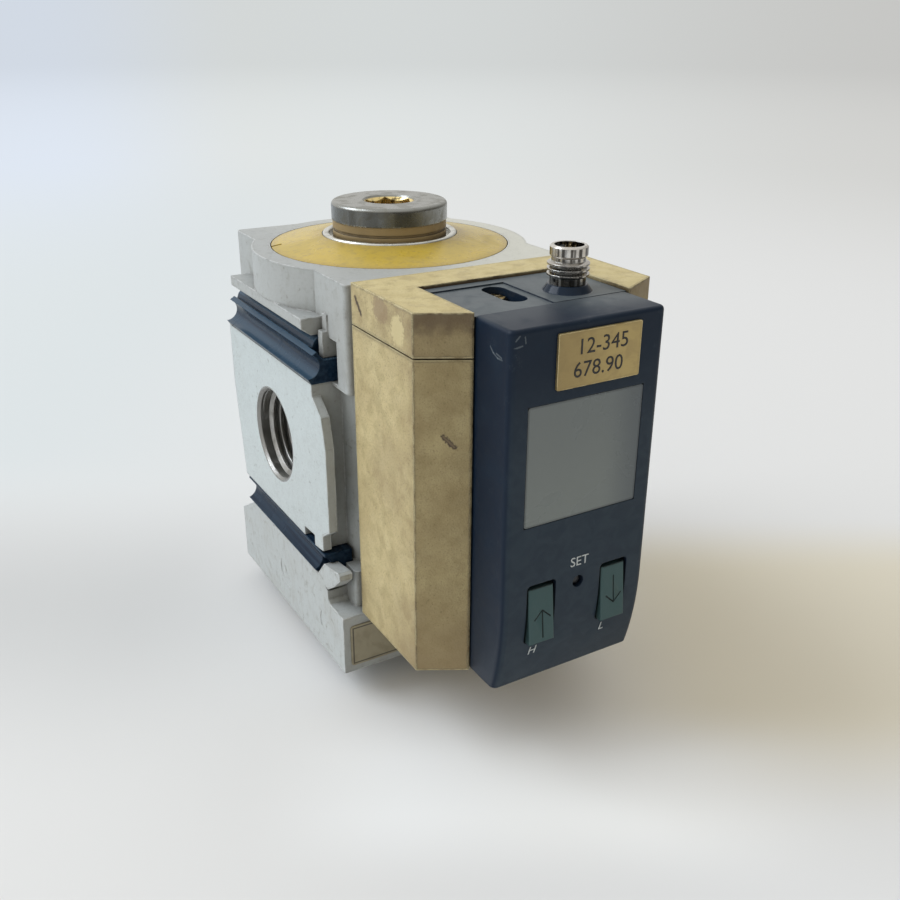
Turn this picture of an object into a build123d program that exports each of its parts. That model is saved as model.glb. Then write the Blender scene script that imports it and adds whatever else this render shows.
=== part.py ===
# Pneumatic branching module: a cast block with a straight run along X, a plugged
# branch at the top and bottom, and a front cover that carries a display pressure
# sensor. The origin is the centre of the bottom plug's face, +Z is up and the
# sensor faces -Y. All sizes are in millimetres.
from build123d import *
import os
from math import cos, radians, sin

os.makedirs("parts", exist_ok=True)

# Driving sizes of the cast block, measured from the port axis where they are rises
grid_width = 62.0
side_step = 4.7
core_front = -32.0
core_back = 29.5
top_rise = 41.6
skirt_drop = 45.1
core_corner = 1.2
waist_corner = 9.0
waist_top_rise = 18.9
waist_drop = 22.0
boss_radius = 31.3

# Joining rail, its slot and the port face
rail_top_rise = 32.6
rail_lip_rise = 30.4
rail_under_rise = 28.9
rail_lip_depth = 2.1
rail_front = -20.1
rail_back = 22.3
slot_depth = 6.7
slot_front = -27.0
port_top_rise = 19.7
port_drop = 19.0
port_front = -29.6
port_back = 26.1
port_plate = 2.0
port_recess = 5.7
lower_slot_drop = 25.7
lower_block_front = -34.8
lower_block_back = 27.8
lower_block_top_drop = 30.9
lip_thickness = 3.0
lip_height = 5.4
lug_setback = 1.2
lug_width = 3.4
lug_depth = 2.0
lug_rise = 30.2
fin_rise = 33.6
fin_proud = 0.35

# Bores, bushes and plugs of the four ports
passage_radius = 8.5
thread_radius = 10.4
thread_length = 16.0
port_mouth_chamfer = 0.6
bush_radius = 15.3
bush_rise = 44.2
bush_depth_rise = 26.0
bush_mouth_radius = 13.8
bush_mouth_depth = 1.2
bush_clearance = 0.1
disc_radius = 26.9
disc_thickness = 3.0
disc_crown = 2.2
disc_clearance = 0.2
disc_notch_width = 0.9
disc_notch_length = 2.3
disc_notch_angle = 163.0
plug_radius = 13.1
plug_collar = 4.0
plug_shank = 14.0
plug_clearance = 0.08
plug_round = 0.9
socket_across_flats = 10.0
socket_depth = 6.5
socket_mouth_radius = 6.1
seal_outer_radius = 12.9
seal_height = 4.1
seal_groove_width = 0.6
seal_groove_depth = 0.4
groove_width = 2.4
groove_depth = 1.8
groove_rise = 31.0

# Connector strips in the two left slots
strip_gap = 0.1
strip_base = 6.4
strip_lower_tip = 0.8
lower_strip_tip = 0.5
strip_front = -24.3
strip_back = 25.5
lower_strip_front = -26.6
lower_strip_back = 20.8
strip_cut_length = 4.2
strip_cut_rise = 4.8
lower_strip_cut = 5.2

# Front cover and its cap
cover_width = 52.6
cover_back = -34.8
cover_side_front = -59.2
cover_front = -64.2
cover_face_width = 34.6
cover_drop = 30.5
cover_rise = 42.9
cover_seam_rise = 34.8
cover_wall = 2.2
seam_gap = 0.3
pocket_clearance = 0.3
pocket_back = -44.1
spigot_gap = 0.2
spigot_inset = 2.5
relief_wall = 3.0
relief_depth = 12.0
relief_width = 13.0
web_width = 14.0
cover_screw_rise = 25.0
cover_screw_drop = 19.0
cover_screw_radius = 1.9
cover_screw_length = 17.0
cover_screw_head_radius = 3.4
cover_screw_head = 2.2
cover_boss_radius = 5.2

# Sensor housings
sensor_width = 33.3
sensor_rise = 42.3
sensor_drop = 30.2
sensor_front = -75.1
sensor_joint = -63.7
sensor_wall = 1.6
sensor_rear_gap = 0.3
sensor_bend_drop = 12.0
sensor_toe = 2.7
top_step_depth = 0.3
top_step_back = -46.8
top_step_side = 0.3
slot_x = -3.8
slot_y = -53.5
slot_width = 4.8
slot_length = 11.6
slot_well = 7.0
screw_sink = 1.6
front_side_round = 1.3
front_top_round = 0.8

# Display, keys and electronics
window_width = 25.2
window_height = 23.2
window_centre_rise = 16.6
window_thickness = 0.9
window_ledge = 1.0
fit_gap = 0.1
key_gap = 0.3
key_side_gap = 0.45
key_top_gap = 1.1
key_width = 5.7
key_length = 11.6
key_centre_drop = 14.3
key_pitch = 17.0
key_middle = 0.45
key_proud = 1.0
key_sink = 0.2
key_round = 0.35
key_flange = 0.9
key_end_flange = 1.5
key_flange_plate = 0.8
key_travel = 0.7
key_stem_radius = 1.5
set_key_radius = 0.8
set_key_gap = 0.45
set_key_drop = 9.6
set_key_recess = 0.8
set_key_travel = 0.5
board_front = -68.0
board_thickness = 1.6
board_width = 28.6
board_rise = 38.0
board_drop = 26.5
post_radius = 1.9
post_side = 12.2
switch_side = 4.4
switch_height = 1.6
plunger_radius = 1.1
switch_gap = 0.1
lcd_thickness = 2.4
lcd_border = 1.4
contact_strip_height = 2.2

# Pressure tapping between the block and the sensor
nipple_radius = 3.6
nipple_bore = 1.2
nipple_body_end = -22.5
nipple_collar_radius = 5.0
nipple_collar = 2.0
cell_radius = 6.4
cell_length = 6.0
cell_socket = 3.2
lead_radius = 0.35
lead_pitch = 2.54
ring_section = 0.9

# Round plug connector on the sensor's top
plug_x = 7.7
plug_y = -57.4
collar_radius = 4.7
collar_top_radius = 3.8
collar_rise = 1.3
barrel_shank_radius = 3.0
barrel_lower_radius = 3.4
barrel_thread_radius = 4.0
barrel_neck_radius = 3.25
barrel_head_radius = 3.6
barrel_bore = 2.8
barrel_thread_turns = 3
barrel_thread_pitch = 1.0
barrel_head = 2.2
barrel_rise = 8.5
insert_height = 3.0
pin_radius = 0.5
pin_circle = 2.5
pin_rise = 7.0

# Plates
tag_width = 18.0
tag_height = 10.1
tag_thickness = 0.5
tag_centre_x = 1.75
tag_centre_rise = 35.55
tag_corner = 0.3
rating_left = -29.4
rating_width = 32.0
rating_height = 10.1
rating_centre_drop = 38.4
rating_thickness = 0.3

# The plug's face stands on the seal, which sits in the bush's mouth
seal_seat_rise = bush_rise - bush_mouth_depth
axis_height = seal_seat_rise + seal_height + plug_collar


def level(rise):
    """Height above the resting face of a point given from the port axis."""
    return axis_height + rise


def facing(end):
    """Plane on the branch axis that looks out of the top (+1) or bottom (-1) port."""
    return Plane(origin=(0, 0, axis_height), x_dir=(1, 0, 0), z_dir=(0, 0, end))


half_grid = grid_width / 2
core_width = grid_width - 2 * side_step
half_core = core_width / 2
half_sensor = sensor_width / 2
slot_floor = half_grid - slot_depth
front_plane = Plane.XZ
side_plane = Plane.YZ


def core_outline(width, front_radius):
    """Plan of the core, whose two front corners have a rounding of their own."""
    with BuildSketch(mode=Mode.PRIVATE) as outline:
        with Locations((0, (core_back + core_front) / 2)):
            Rectangle(width, core_back - core_front)
        fillet(outline.vertices().group_by(Axis.Y)[0], radius=front_radius)
        fillet(outline.vertices().group_by(Axis.Y)[-1], radius=core_corner)
    return outline.sketch


# Cast block: the left half's features are made first and mirrored to the right
with BuildPart() as module_body:
    with BuildSketch(Plane.XY.offset(level(waist_top_rise))):
        add(core_outline(core_width, core_corner))
    extrude(amount=top_rise - waist_top_rise)
    with BuildSketch(Plane.XY.offset(level(-waist_drop))):
        add(core_outline(2 * slot_floor, waist_corner))
    extrude(amount=waist_top_rise + waist_drop)
    with BuildSketch(Plane.XY.offset(level(-skirt_drop))):
        add(core_outline(core_width, core_corner))
    extrude(amount=skirt_drop - waist_drop)
    with BuildSketch(Plane.XY.offset(level(rail_top_rise))):
        Circle(boss_radius)
    extrude(amount=top_rise - rail_top_rise)
    # Overhanging rail above the upper slot
    with BuildSketch(front_plane.offset(-rail_back)):
        with BuildLine():
            Polyline(
                (-half_grid, level(rail_top_rise)),
                (-half_grid, level(rail_lip_rise)),
                (-half_grid + rail_lip_depth, level(rail_under_rise)),
                (-slot_floor, level(rail_under_rise)),
                (-slot_floor, level(rail_top_rise)),
                close=True,
            )
        make_face()
    extrude(amount=rail_back - rail_front)
    # Port block, set back behind its machined face
    with BuildSketch(side_plane.offset(-half_grid + port_plate)):
        with BuildLine():
            Polyline(
                (port_back, level(port_top_rise)),
                (port_back, level(5.3)),
                (port_back - 3.5, level(-port_drop)),
                (port_front + port_recess, level(-port_drop)),
                (port_front + port_recess, level(port_top_rise)),
                close=True,
            )
        make_face()
    extrude(amount=half_grid - port_plate)
    # Machined port face with its notch at the lower front corner
    with BuildSketch(side_plane.offset(-half_grid)):
        with BuildLine():
            Polyline(
                (port_back, level(port_top_rise)),
                (port_back, level(5.3)),
                (port_back - 3.5, level(-port_drop)),
                (port_front + 14.0, level(-port_drop)),
                (port_front + 14.0, level(-port_drop + 2.2)),
                (port_front + 8.3, level(-port_drop + 2.6)),
                (port_front + 8.3, level(-port_drop)),
                (port_front + 3.8, level(-port_drop + 0.6)),
                (port_front + 3.8, level(-port_drop + 4.2)),
                (port_front, level(-port_drop + 6.8)),
                (port_front, level(port_top_rise - 12.6)),
                (port_front + 1.5, level(port_top_rise - 6.0)),
                (port_front + 4.4, level(port_top_rise - 3.7)),
                (port_front + port_recess, level(port_top_rise - 2.7)),
                (port_front + port_recess, level(port_top_rise)),
                close=True,
            )
        make_face()
    extrude(amount=port_plate)
    # Lower block below the lower slot
    with BuildSketch(side_plane.offset(-half_grid)):
        with BuildLine():
            Polyline(
                (lower_block_back, level(-skirt_drop)),
                (lower_block_back, level(-lower_block_top_drop)),
                (lower_block_back - 9.0, level(-lower_slot_drop)),
                (rail_front - 1.2, level(-lower_slot_drop)),
                (rail_front - 7.0, level(-lower_slot_drop - 2.2)),
                (rail_front - 7.0, level(-lower_block_top_drop + 0.9)),
                (rail_front - 7.9, level(-lower_block_top_drop)),
                (lower_block_front, level(-lower_block_top_drop)),
                (lower_block_front, level(-skirt_drop)),
                close=True,
            )
        make_face()
    extrude(amount=half_grid)
    mirror(about=Plane.YZ)
    # Slots for the connector strips along both sides, open at the back
    with BuildSketch(front_plane.offset(-core_back - 1)):
        with Locations((0, level((port_top_rise + rail_under_rise) / 2))):
            with GridLocations(grid_width, 1, 2, 1):
                Rectangle(2 * slot_depth, rail_under_rise - port_top_rise)
        with Locations((0, level(-(port_drop + lower_slot_drop) / 2))):
            with GridLocations(grid_width, 1, 2, 1):
                Rectangle(2 * slot_depth, lower_slot_drop - port_drop)
    extrude(amount=core_back + 1 - slot_front, mode=Mode.SUBTRACT)
    # Stop lugs in the mouths of the upper slots, each with a thin fin above it
    lug_root = half_core - side_step
    lug_foot = port_top_rise + strip_gap + strip_cut_rise + strip_gap
    for side in (-1, 1):
        with BuildSketch(front_plane.offset(-strip_front - lug_setback)):
            with Locations((side * (slot_floor + lug_width + lug_root) / 2, level((lug_rise + lug_foot) / 2))):
                Rectangle(slot_floor + lug_width - lug_root, lug_rise - lug_foot)
            with Locations((side * (half_core + fin_proud + lug_root) / 2, level((fin_rise + rail_under_rise) / 2))):
                Rectangle(half_core + fin_proud - lug_root, fin_rise - rail_under_rise)
        extrude(amount=-lug_depth)
    # Hooked lips that rise in front of the lower slots
    for side in (-1, 1):
        with BuildSketch(side_plane.offset(side * half_grid)):
            with BuildLine():
                Polyline(
                    (rail_front - 2.0, level(-lower_slot_drop)),
                    (rail_front - 5.8, level(-lower_slot_drop + lip_height - 1.2)),
                    (lower_block_front + 1.6, level(-lower_slot_drop + lip_height)),
                    (lower_block_front + 0.8, level(-lower_slot_drop + lip_height - 0.4)),
                    (lower_block_front + 0.8, level(-lower_slot_drop + lip_height - 1.6)),
                    (rail_front - 10.8, level(-lower_slot_drop + 0.9)),
                    (rail_front - 7.2, level(-lower_slot_drop - 1.6)),
                    (rail_front - 2.0, level(-lower_slot_drop - 1.6)),
                    close=True,
                )
            make_face()
        extrude(amount=-side * lip_thickness)
    # Spigot that the cover seats around, with two relief pockets beside its web
    with BuildSketch(front_plane.offset(-core_front)):
        with Locations((0, level((cover_rise - cover_drop) / 2))):
            Rectangle(cover_width - 2 * cover_wall - 2 * spigot_gap, cover_rise + cover_drop - 2 * spigot_inset)
    extrude(amount=core_front - cover_back - spigot_gap)
    with BuildSketch(front_plane.offset(-cover_back)):
        with Locations((0, level((cover_rise - cover_drop) / 2))):
            with GridLocations(web_width + relief_width, 1, 2, 1):
                Rectangle(relief_width, cover_rise + cover_drop - 2 * spigot_inset - 2 * relief_wall)
    extrude(amount=-relief_depth - (core_front - cover_back), mode=Mode.SUBTRACT)
    # Straight run, port threads and branch bores
    with BuildSketch(side_plane.offset(-half_grid)):
        with Locations((0, axis_height)):
            Circle(passage_radius)
    extrude(amount=grid_width, mode=Mode.SUBTRACT)
    for side in (-1, 1):
        with BuildSketch(side_plane.offset(side * half_grid)):
            with Locations((0, axis_height)):
                Circle(thread_radius)
        extrude(amount=-side * thread_length, mode=Mode.SUBTRACT)
        with BuildSketch(side_plane.offset(side * half_grid)):
            with Locations((0, axis_height)):
                Circle(thread_radius + port_mouth_chamfer)
        extrude(amount=-side * port_mouth_chamfer, taper=45, mode=Mode.SUBTRACT)
    for end in (-1, 1):
        with BuildSketch(facing(end)):
            Circle(passage_radius)
        extrude(amount=top_rise, mode=Mode.SUBTRACT)
        with BuildSketch(facing(end).offset(bush_depth_rise)):
            Circle(bush_radius + bush_clearance)
        extrude(amount=skirt_drop - bush_depth_rise, mode=Mode.SUBTRACT)
        with BuildSketch(facing(end).offset(top_rise - disc_thickness)):
            Circle(disc_radius + disc_clearance)
        extrude(amount=skirt_drop - top_rise + disc_thickness, mode=Mode.SUBTRACT)
    # Tapping bore for the nipple and blind holes for the cover screws
    with BuildSketch(front_plane.offset(-cover_back)):
        with Locations((0, axis_height)):
            Circle(nipple_bore + 0.3)
    extrude(amount=cover_back, mode=Mode.SUBTRACT)
    with BuildSketch(front_plane.offset(-nipple_body_end - key_gap)):
        with Locations((0, axis_height)):
            Circle(nipple_radius + fit_gap)
    extrude(amount=nipple_body_end + key_gap - cover_back, mode=Mode.SUBTRACT)
    with BuildSketch(front_plane.offset(-cover_back)):
        with Locations((0, level(cover_screw_rise)), (0, level(-cover_screw_drop))):
            Circle(cover_screw_radius + 0.05)
    extrude(amount=-(cover_screw_length - 6.0), mode=Mode.SUBTRACT)
module_body.part.label = "module_body"
export_step(module_body.part, "parts/module_body.step")

# Plug, seal, bush, bush ring and disc at each end of the branch
for end_name, end in (("top", 1), ("bottom", -1)):
    with BuildPart() as port_disc:
        with BuildSketch(front_plane):
            with BuildLine():
                Polyline(
                    (bush_radius + bush_clearance, level(end * (top_rise - disc_thickness))),
                    (disc_radius, level(end * (top_rise - disc_thickness))),
                    (disc_radius, level(end * top_rise)),
                    (bush_radius + bush_clearance, level(end * (top_rise + disc_crown))),
                    close=True,
                )
            make_face()
        revolve(axis=Axis.Z)
        with BuildSketch(facing(end).offset(top_rise + disc_crown)):
            with PolarLocations(disc_radius - disc_notch_length / 2, 1, start_angle=disc_notch_angle):
                Rectangle(disc_notch_length, disc_notch_width)
        extrude(amount=-disc_crown - disc_thickness / 2, mode=Mode.SUBTRACT)
    port_disc.part.label = f"{end_name}_disc"
    export_step(port_disc.part, f"parts/{end_name}_disc.step")

    with BuildPart() as port_bush:
        with BuildSketch(facing(end).offset(bush_depth_rise)):
            Circle(bush_radius)
            Circle(thread_radius, mode=Mode.SUBTRACT)
        extrude(amount=bush_rise - bush_depth_rise)
        with BuildSketch(facing(end).offset(bush_rise)):
            Circle(bush_mouth_radius)
        extrude(amount=-bush_mouth_depth, mode=Mode.SUBTRACT)
        with BuildSketch(facing(end).offset(groove_rise)):
            Circle(bush_radius)
            Circle(bush_radius - groove_depth, mode=Mode.SUBTRACT)
        extrude(amount=groove_width, mode=Mode.SUBTRACT)
        rims = port_bush.edges().filter_by(GeomType.CIRCLE).group_by(Axis.Z)[-1 if end > 0 else 0]
        fillet(rims, radius=(bush_radius - bush_mouth_radius) * 0.35)
    port_bush.part.label = f"{end_name}_port_bush"
    export_step(port_bush.part, f"parts/{end_name}_port_bush.step")

    with BuildPart() as bush_ring:
        with BuildSketch(Plane.XZ):
            with Locations((bush_radius - groove_depth + ring_section + 0.05, level(end * (groove_rise + groove_width / 2)))):
                Circle(ring_section)
        revolve(axis=Axis.Z)
    bush_ring.part.label = f"{end_name}_bush_o_ring"
    export_step(bush_ring.part, f"parts/{end_name}_bush_o_ring.step")

    with BuildPart() as plug_seal:
        with BuildSketch(facing(end).offset(seal_seat_rise)):
            Circle(seal_outer_radius)
            Circle(thread_radius + plug_clearance, mode=Mode.SUBTRACT)
        extrude(amount=seal_height)
        with BuildSketch(facing(end).offset(seal_seat_rise + (seal_height - seal_groove_width) / 2)):
            Circle(seal_outer_radius)
            Circle(seal_outer_radius - seal_groove_depth, mode=Mode.SUBTRACT)
        extrude(amount=seal_groove_width, mode=Mode.SUBTRACT)
    plug_seal.part.label = f"{end_name}_seal_ring"
    export_step(plug_seal.part, f"parts/{end_name}_seal_ring.step")

    with BuildPart() as screw_plug:
        with BuildSketch(facing(end).offset(axis_height - plug_collar)):
            Circle(plug_radius)
        extrude(amount=plug_collar)
        collar_rims = screw_plug.edges().filter_by(GeomType.CIRCLE).group_by(Axis.Z)
        fillet(collar_rims[-1 if end > 0 else 0], radius=plug_round)
        with BuildSketch(facing(end).offset(axis_height - plug_collar)):
            Circle(thread_radius - plug_clearance)
        extrude(amount=-plug_shank)
        shank_rim = screw_plug.edges().filter_by(GeomType.CIRCLE).group_by(Axis.Z)[0 if end > 0 else -1]
        chamfer(shank_rim, length=1.2)
        with BuildSketch(facing(end).offset(axis_height)):
            RegularPolygon(radius=socket_across_flats / 2, side_count=6, major_radius=False, rotation=12)
        extrude(amount=-socket_depth, mode=Mode.SUBTRACT)
        with BuildSketch(facing(end).offset(axis_height)):
            Circle(socket_mouth_radius)
        extrude(amount=-(socket_mouth_radius - socket_across_flats / 2), taper=45, mode=Mode.SUBTRACT)
    screw_plug.part.label = f"{end_name}_screw_plug"
    export_step(screw_plug.part, f"parts/{end_name}_screw_plug.step")

# Upper connector strip: a channel that opens outwards, with its top cut away in front
strip_zero = port_top_rise + strip_gap
with BuildPart() as upper_connector_strip:
    with BuildSketch(front_plane.offset(-strip_back)):
        with BuildLine():
            Line((-half_grid + strip_base, level(strip_zero)), (-half_grid, level(strip_zero)))
            Line((-half_grid, level(strip_zero)), (-half_grid - strip_lower_tip, level(strip_zero + 1.2)))
            ThreePointArc(
                (-half_grid - strip_lower_tip, level(strip_zero + 1.2)),
                (-half_grid + 1.9, level(strip_zero + 3.7)),
                (-half_grid + 0.4, level(strip_zero + 6.2)),
            )
            Polyline(
                (-half_grid + 0.4, level(strip_zero + 6.2)),
                (-half_grid + 1.5, level(strip_zero + 6.9)),
                (-half_grid + 2.2, level(strip_zero + 6.4)),
                (-half_grid + 2.7, level(strip_zero + 7.6)),
                (-half_grid + 3.9, level(rail_under_rise - 0.3)),
                (-half_grid + strip_base, level(rail_under_rise - 0.3)),
                (-half_grid + strip_base, level(strip_zero)),
            )
        make_face()
    extrude(amount=strip_back - strip_front)
    with BuildSketch(front_plane.offset(-strip_front)):
        with BuildLine():
            Polyline(
                (-half_grid + strip_base + 1, level(strip_zero + strip_cut_rise)),
                (-half_grid + 3.0, level(strip_zero + strip_cut_rise)),
                (-half_grid + 2.1, level(strip_zero + 5.9)),
                (-half_grid - 1, level(strip_zero + 10.0)),
                (-half_grid + strip_base + 1, level(strip_zero + 10.0)),
                close=True,
            )
        make_face()
    extrude(amount=-strip_cut_length, mode=Mode.SUBTRACT)
upper_connector_strip.part.label = "upper_connector_strip"
export_step(upper_connector_strip.part, "parts/upper_connector_strip.step")

# Lower connector strip: the same channel turned over and lower in height
lower_zero = port_drop + strip_gap
lower_depth = lower_slot_drop - port_drop - 2 * strip_gap
with BuildPart() as lower_connector_strip:
    with BuildSketch(front_plane.offset(-lower_strip_back)):
        with BuildLine():
            Polyline(
                (-half_grid, level(-lower_zero - lower_depth)),
                (-half_grid + strip_base, level(-lower_zero - lower_depth)),
                (-half_grid + strip_base, level(-lower_zero)),
                (-half_grid, level(-lower_zero)),
                (-half_grid - strip_gap, level(-lower_zero - 0.5)),
            )
            ThreePointArc(
                (-half_grid - strip_gap, level(-lower_zero - 0.5)),
                (-half_grid + 1.5, level(-lower_zero - 0.38 * lower_depth)),
                (-half_grid - lower_strip_tip, level(-lower_zero - lower_depth + 0.6)),
            )
            Line(
                (-half_grid - lower_strip_tip, level(-lower_zero - lower_depth + 0.6)),
                (-half_grid, level(-lower_zero - lower_depth)),
            )
        make_face()
    extrude(amount=lower_strip_back - lower_strip_front)
    with BuildSketch(front_plane.offset(-lower_strip_front)):
        with BuildLine():
            Polyline(
                (-half_grid - 2, level(-lower_zero - lower_depth - 1)),
                (-half_grid - 2, level(-lower_slot_drop + lip_height - 1.0)),
                (-half_grid + lip_thickness + strip_gap, level(-lower_slot_drop + lip_height - 1.0)),
                (-half_grid + lip_thickness + strip_gap, level(-lower_zero - lower_depth - 1)),
                close=True,
            )
        make_face()
    extrude(amount=-lower_strip_cut, mode=Mode.SUBTRACT)
lower_connector_strip.part.label = "lower_connector_strip"
export_step(lower_connector_strip.part, "parts/lower_connector_strip.step")


def cover_outline():
    """Plan of the cover: flat sides, two bevels and a flat front."""
    with BuildSketch(mode=Mode.PRIVATE) as outline:
        with BuildLine():
            Polyline(
                (-cover_width / 2, cover_back),
                (-cover_width / 2, cover_side_front),
                (-cover_face_width / 2, cover_front),
                (cover_face_width / 2, cover_front),
                (cover_width / 2, cover_side_front),
                (cover_width / 2, cover_back),
                close=True,
            )
        make_face()
    return outline.sketch


def cover_cavity():
    """Plan of the cover's hollow: the outline less its walls and the walls of the sensor pocket."""
    with BuildSketch(mode=Mode.PRIVATE) as outline:
        add(cover_outline())
        offset(amount=-cover_wall, kind=Kind.INTERSECTION)
        with Locations((0, cover_back - cover_wall / 2)):
            Rectangle(cover_width - 2 * cover_wall, cover_wall + 2)
        with Locations((0, pocket_back + cover_wall)):
            Rectangle(
                sensor_width + 2 * (pocket_clearance + cover_wall * 0.8),
                pocket_back - cover_front + cover_wall,
                align=(Align.CENTER, Align.MAX),
                mode=Mode.SUBTRACT,
            )
    return outline.sketch


def sensor_pocket():
    """Plan of the pocket that the sensor's rear housing slides into from the front."""
    with BuildSketch(mode=Mode.PRIVATE) as outline:
        with Locations((0, pocket_back)):
            Rectangle(
                sensor_width + 2 * pocket_clearance,
                pocket_back - cover_front + 1,
                align=(Align.CENTER, Align.MAX),
            )
    return outline.sketch


# Cover shell: open at the back and top, with screw pillars behind the pocket
shell_height = cover_seam_rise + cover_drop - seam_gap
with BuildPart() as cover_shell:
    with BuildSketch(Plane.XY.offset(level(-cover_drop))):
        add(cover_outline())
    extrude(amount=shell_height)
    with BuildSketch(Plane.XY.offset(level(-cover_drop + cover_wall))):
        add(cover_cavity())
    extrude(amount=shell_height, mode=Mode.SUBTRACT)
    with BuildSketch(Plane.XY.offset(level(-cover_drop + cover_wall))):
        add(sensor_pocket())
    extrude(amount=shell_height, mode=Mode.SUBTRACT)
    # Floor cut back where the sensor's front housing hangs over it
    with BuildSketch(Plane.XY.offset(level(-cover_drop))):
        with Locations((0, sensor_joint - seam_gap + pocket_clearance)):
            Rectangle(sensor_width + 2 * pocket_clearance, 2, align=(Align.CENTER, Align.MAX))
    extrude(amount=cover_wall, mode=Mode.SUBTRACT)
    screw_points = [(0, level(cover_screw_rise)), (0, level(-cover_screw_drop))]
    with BuildSketch(front_plane.offset(-cover_back)):
        with Locations(screw_points):
            Circle(cover_boss_radius)
    extrude(amount=cover_back - pocket_back)
    with BuildSketch(front_plane.offset(-cover_back)):
        with Locations(screw_points):
            Circle(cover_screw_radius + fit_gap)
        with Locations((0, axis_height)):
            Circle(nipple_radius + pocket_clearance)
    extrude(amount=cover_back - cover_front, mode=Mode.SUBTRACT)
    with BuildSketch(front_plane.offset(-pocket_back)):
        with Locations(screw_points):
            Circle(cover_screw_head_radius + fit_gap)
    extrude(amount=-cover_screw_head - fit_gap, mode=Mode.SUBTRACT)
cover_shell.part.label = "cover_shell"
export_step(cover_shell.part, "parts/cover_shell.step")

# Cap that closes the cover above the seam
with BuildPart() as cover_cap:
    with BuildSketch(Plane.XY.offset(level(cover_seam_rise))):
        add(cover_outline())
    extrude(amount=cover_rise - cover_seam_rise)
    with BuildSketch(Plane.XY.offset(level(cover_seam_rise))):
        add(cover_cavity())
    extrude(amount=cover_rise - cover_seam_rise - cover_wall, mode=Mode.SUBTRACT)
    with BuildSketch(Plane.XY.offset(level(cover_seam_rise))):
        add(sensor_pocket())
    extrude(amount=cover_rise - cover_seam_rise, mode=Mode.SUBTRACT)
cover_cap.part.label = "cover_cap"
export_step(cover_cap.part, "parts/cover_cap.step")

# Two cover screws, hidden behind the sensor
head_seat = pocket_back + cover_screw_head
with BuildPart() as cover_screws:
    with BuildSketch(front_plane.offset(-head_seat)):
        with Locations(screw_points):
            Circle(cover_screw_head_radius)
    extrude(amount=cover_screw_head - fit_gap)
    with BuildSketch(front_plane.offset(-head_seat)):
        with Locations(screw_points):
            Circle(cover_screw_radius)
    extrude(amount=-cover_screw_length)
    with BuildSketch(front_plane.offset(-head_seat + cover_screw_head - fit_gap)):
        with Locations(screw_points):
            RegularPolygon(radius=1.5, side_count=6, major_radius=False)
    extrude(amount=-1.4, mode=Mode.SUBTRACT)
cover_screws.part.label = "cover_screws"
export_step(cover_screws.part, "parts/cover_screws.step")

# Rear housing of the sensor: a box open to the front
rear_back = pocket_back - sensor_rear_gap
rear_bottom = cover_drop - cover_wall - sensor_rear_gap
rear_height = sensor_rise + rear_bottom
rear_depth = rear_back - sensor_joint
connector_place = (plug_x, plug_y)
with BuildPart() as sensor_rear_housing:
    with BuildSketch(Plane.XY.offset(level(-rear_bottom))):
        with Locations((0, (rear_back + sensor_joint) / 2)):
            Rectangle(sensor_width, rear_depth)
    extrude(amount=rear_height)
    with BuildSketch(front_plane.offset(-rear_back + sensor_wall)):
        with Locations((0, level((sensor_rise - rear_bottom) / 2))):
            Rectangle(sensor_width - 2 * sensor_wall, rear_height - 2 * sensor_wall)
    extrude(amount=rear_depth, mode=Mode.SUBTRACT)
    # Shallow step of the top's left half
    with BuildSketch(Plane.XY.offset(level(sensor_rise))):
        with Locations((top_step_side, top_step_back)):
            Rectangle(sensor_width, rear_depth, align=(Align.MAX, Align.MAX))
    extrude(amount=-top_step_depth, mode=Mode.SUBTRACT)
    # Oval well that holds the fixing screw
    with BuildSketch(Plane.XY.offset(level(sensor_rise - sensor_wall))):
        with Locations((slot_x, slot_y)):
            SlotOverall(slot_length + 2 * sensor_wall, slot_width + 2 * sensor_wall, rotation=90)
    extrude(amount=-slot_well)
    with BuildSketch(Plane.XY.offset(level(sensor_rise))):
        with Locations((slot_x, slot_y)):
            SlotOverall(slot_length, slot_width, rotation=90)
    extrude(amount=-slot_well, mode=Mode.SUBTRACT)
    # Collar under the round connector
    with BuildSketch(Plane.XY.offset(level(sensor_rise - top_step_depth))):
        with Locations(connector_place):
            Circle(collar_radius)
    extrude(amount=top_step_depth)
    with BuildSketch(Plane.XY.offset(level(sensor_rise))):
        with Locations(connector_place):
            Circle(collar_radius)
    with BuildSketch(Plane.XY.offset(level(sensor_rise + collar_rise))):
        with Locations(connector_place):
            Circle(collar_top_radius)
    loft()
    with BuildSketch(Plane.XY.offset(level(sensor_rise + collar_rise))):
        with Locations(connector_place):
            Circle(barrel_shank_radius + 0.05)
    extrude(amount=-collar_rise - sensor_wall, mode=Mode.SUBTRACT)
    # Hole for the pressure nipple
    with BuildSketch(front_plane.offset(-rear_back)):
        with Locations((0, axis_height)):
            Circle(nipple_radius + fit_gap)
    extrude(amount=sensor_wall, mode=Mode.SUBTRACT)
sensor_rear_housing.part.label = "sensor_rear_housing"
export_step(sensor_rear_housing.part, "parts/sensor_rear_housing.step")

# Front housing of the sensor: a deep lid whose face curves back at its toe
lid_back = sensor_joint - seam_gap
face_inner = sensor_front + sensor_wall


def lid_profile():
    """Side view of the front housing, from the joint to the curved toe."""
    with BuildSketch(mode=Mode.PRIVATE) as outline:
        with BuildLine():
            Polyline(
                (sensor_front, level(-sensor_bend_drop)),
                (sensor_front, level(sensor_rise)),
                (lid_back, level(sensor_rise)),
                (lid_back, level(-sensor_drop)),
                (sensor_front + sensor_toe, level(-sensor_drop)),
            )
            ThreePointArc(
                (sensor_front + sensor_toe, level(-sensor_drop)),
                (sensor_front + sensor_toe * 0.27, level(-sensor_bend_drop - (sensor_drop - sensor_bend_drop) * 0.52)),
                (sensor_front, level(-sensor_bend_drop)),
            )
        make_face()
    return outline.sketch


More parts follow.
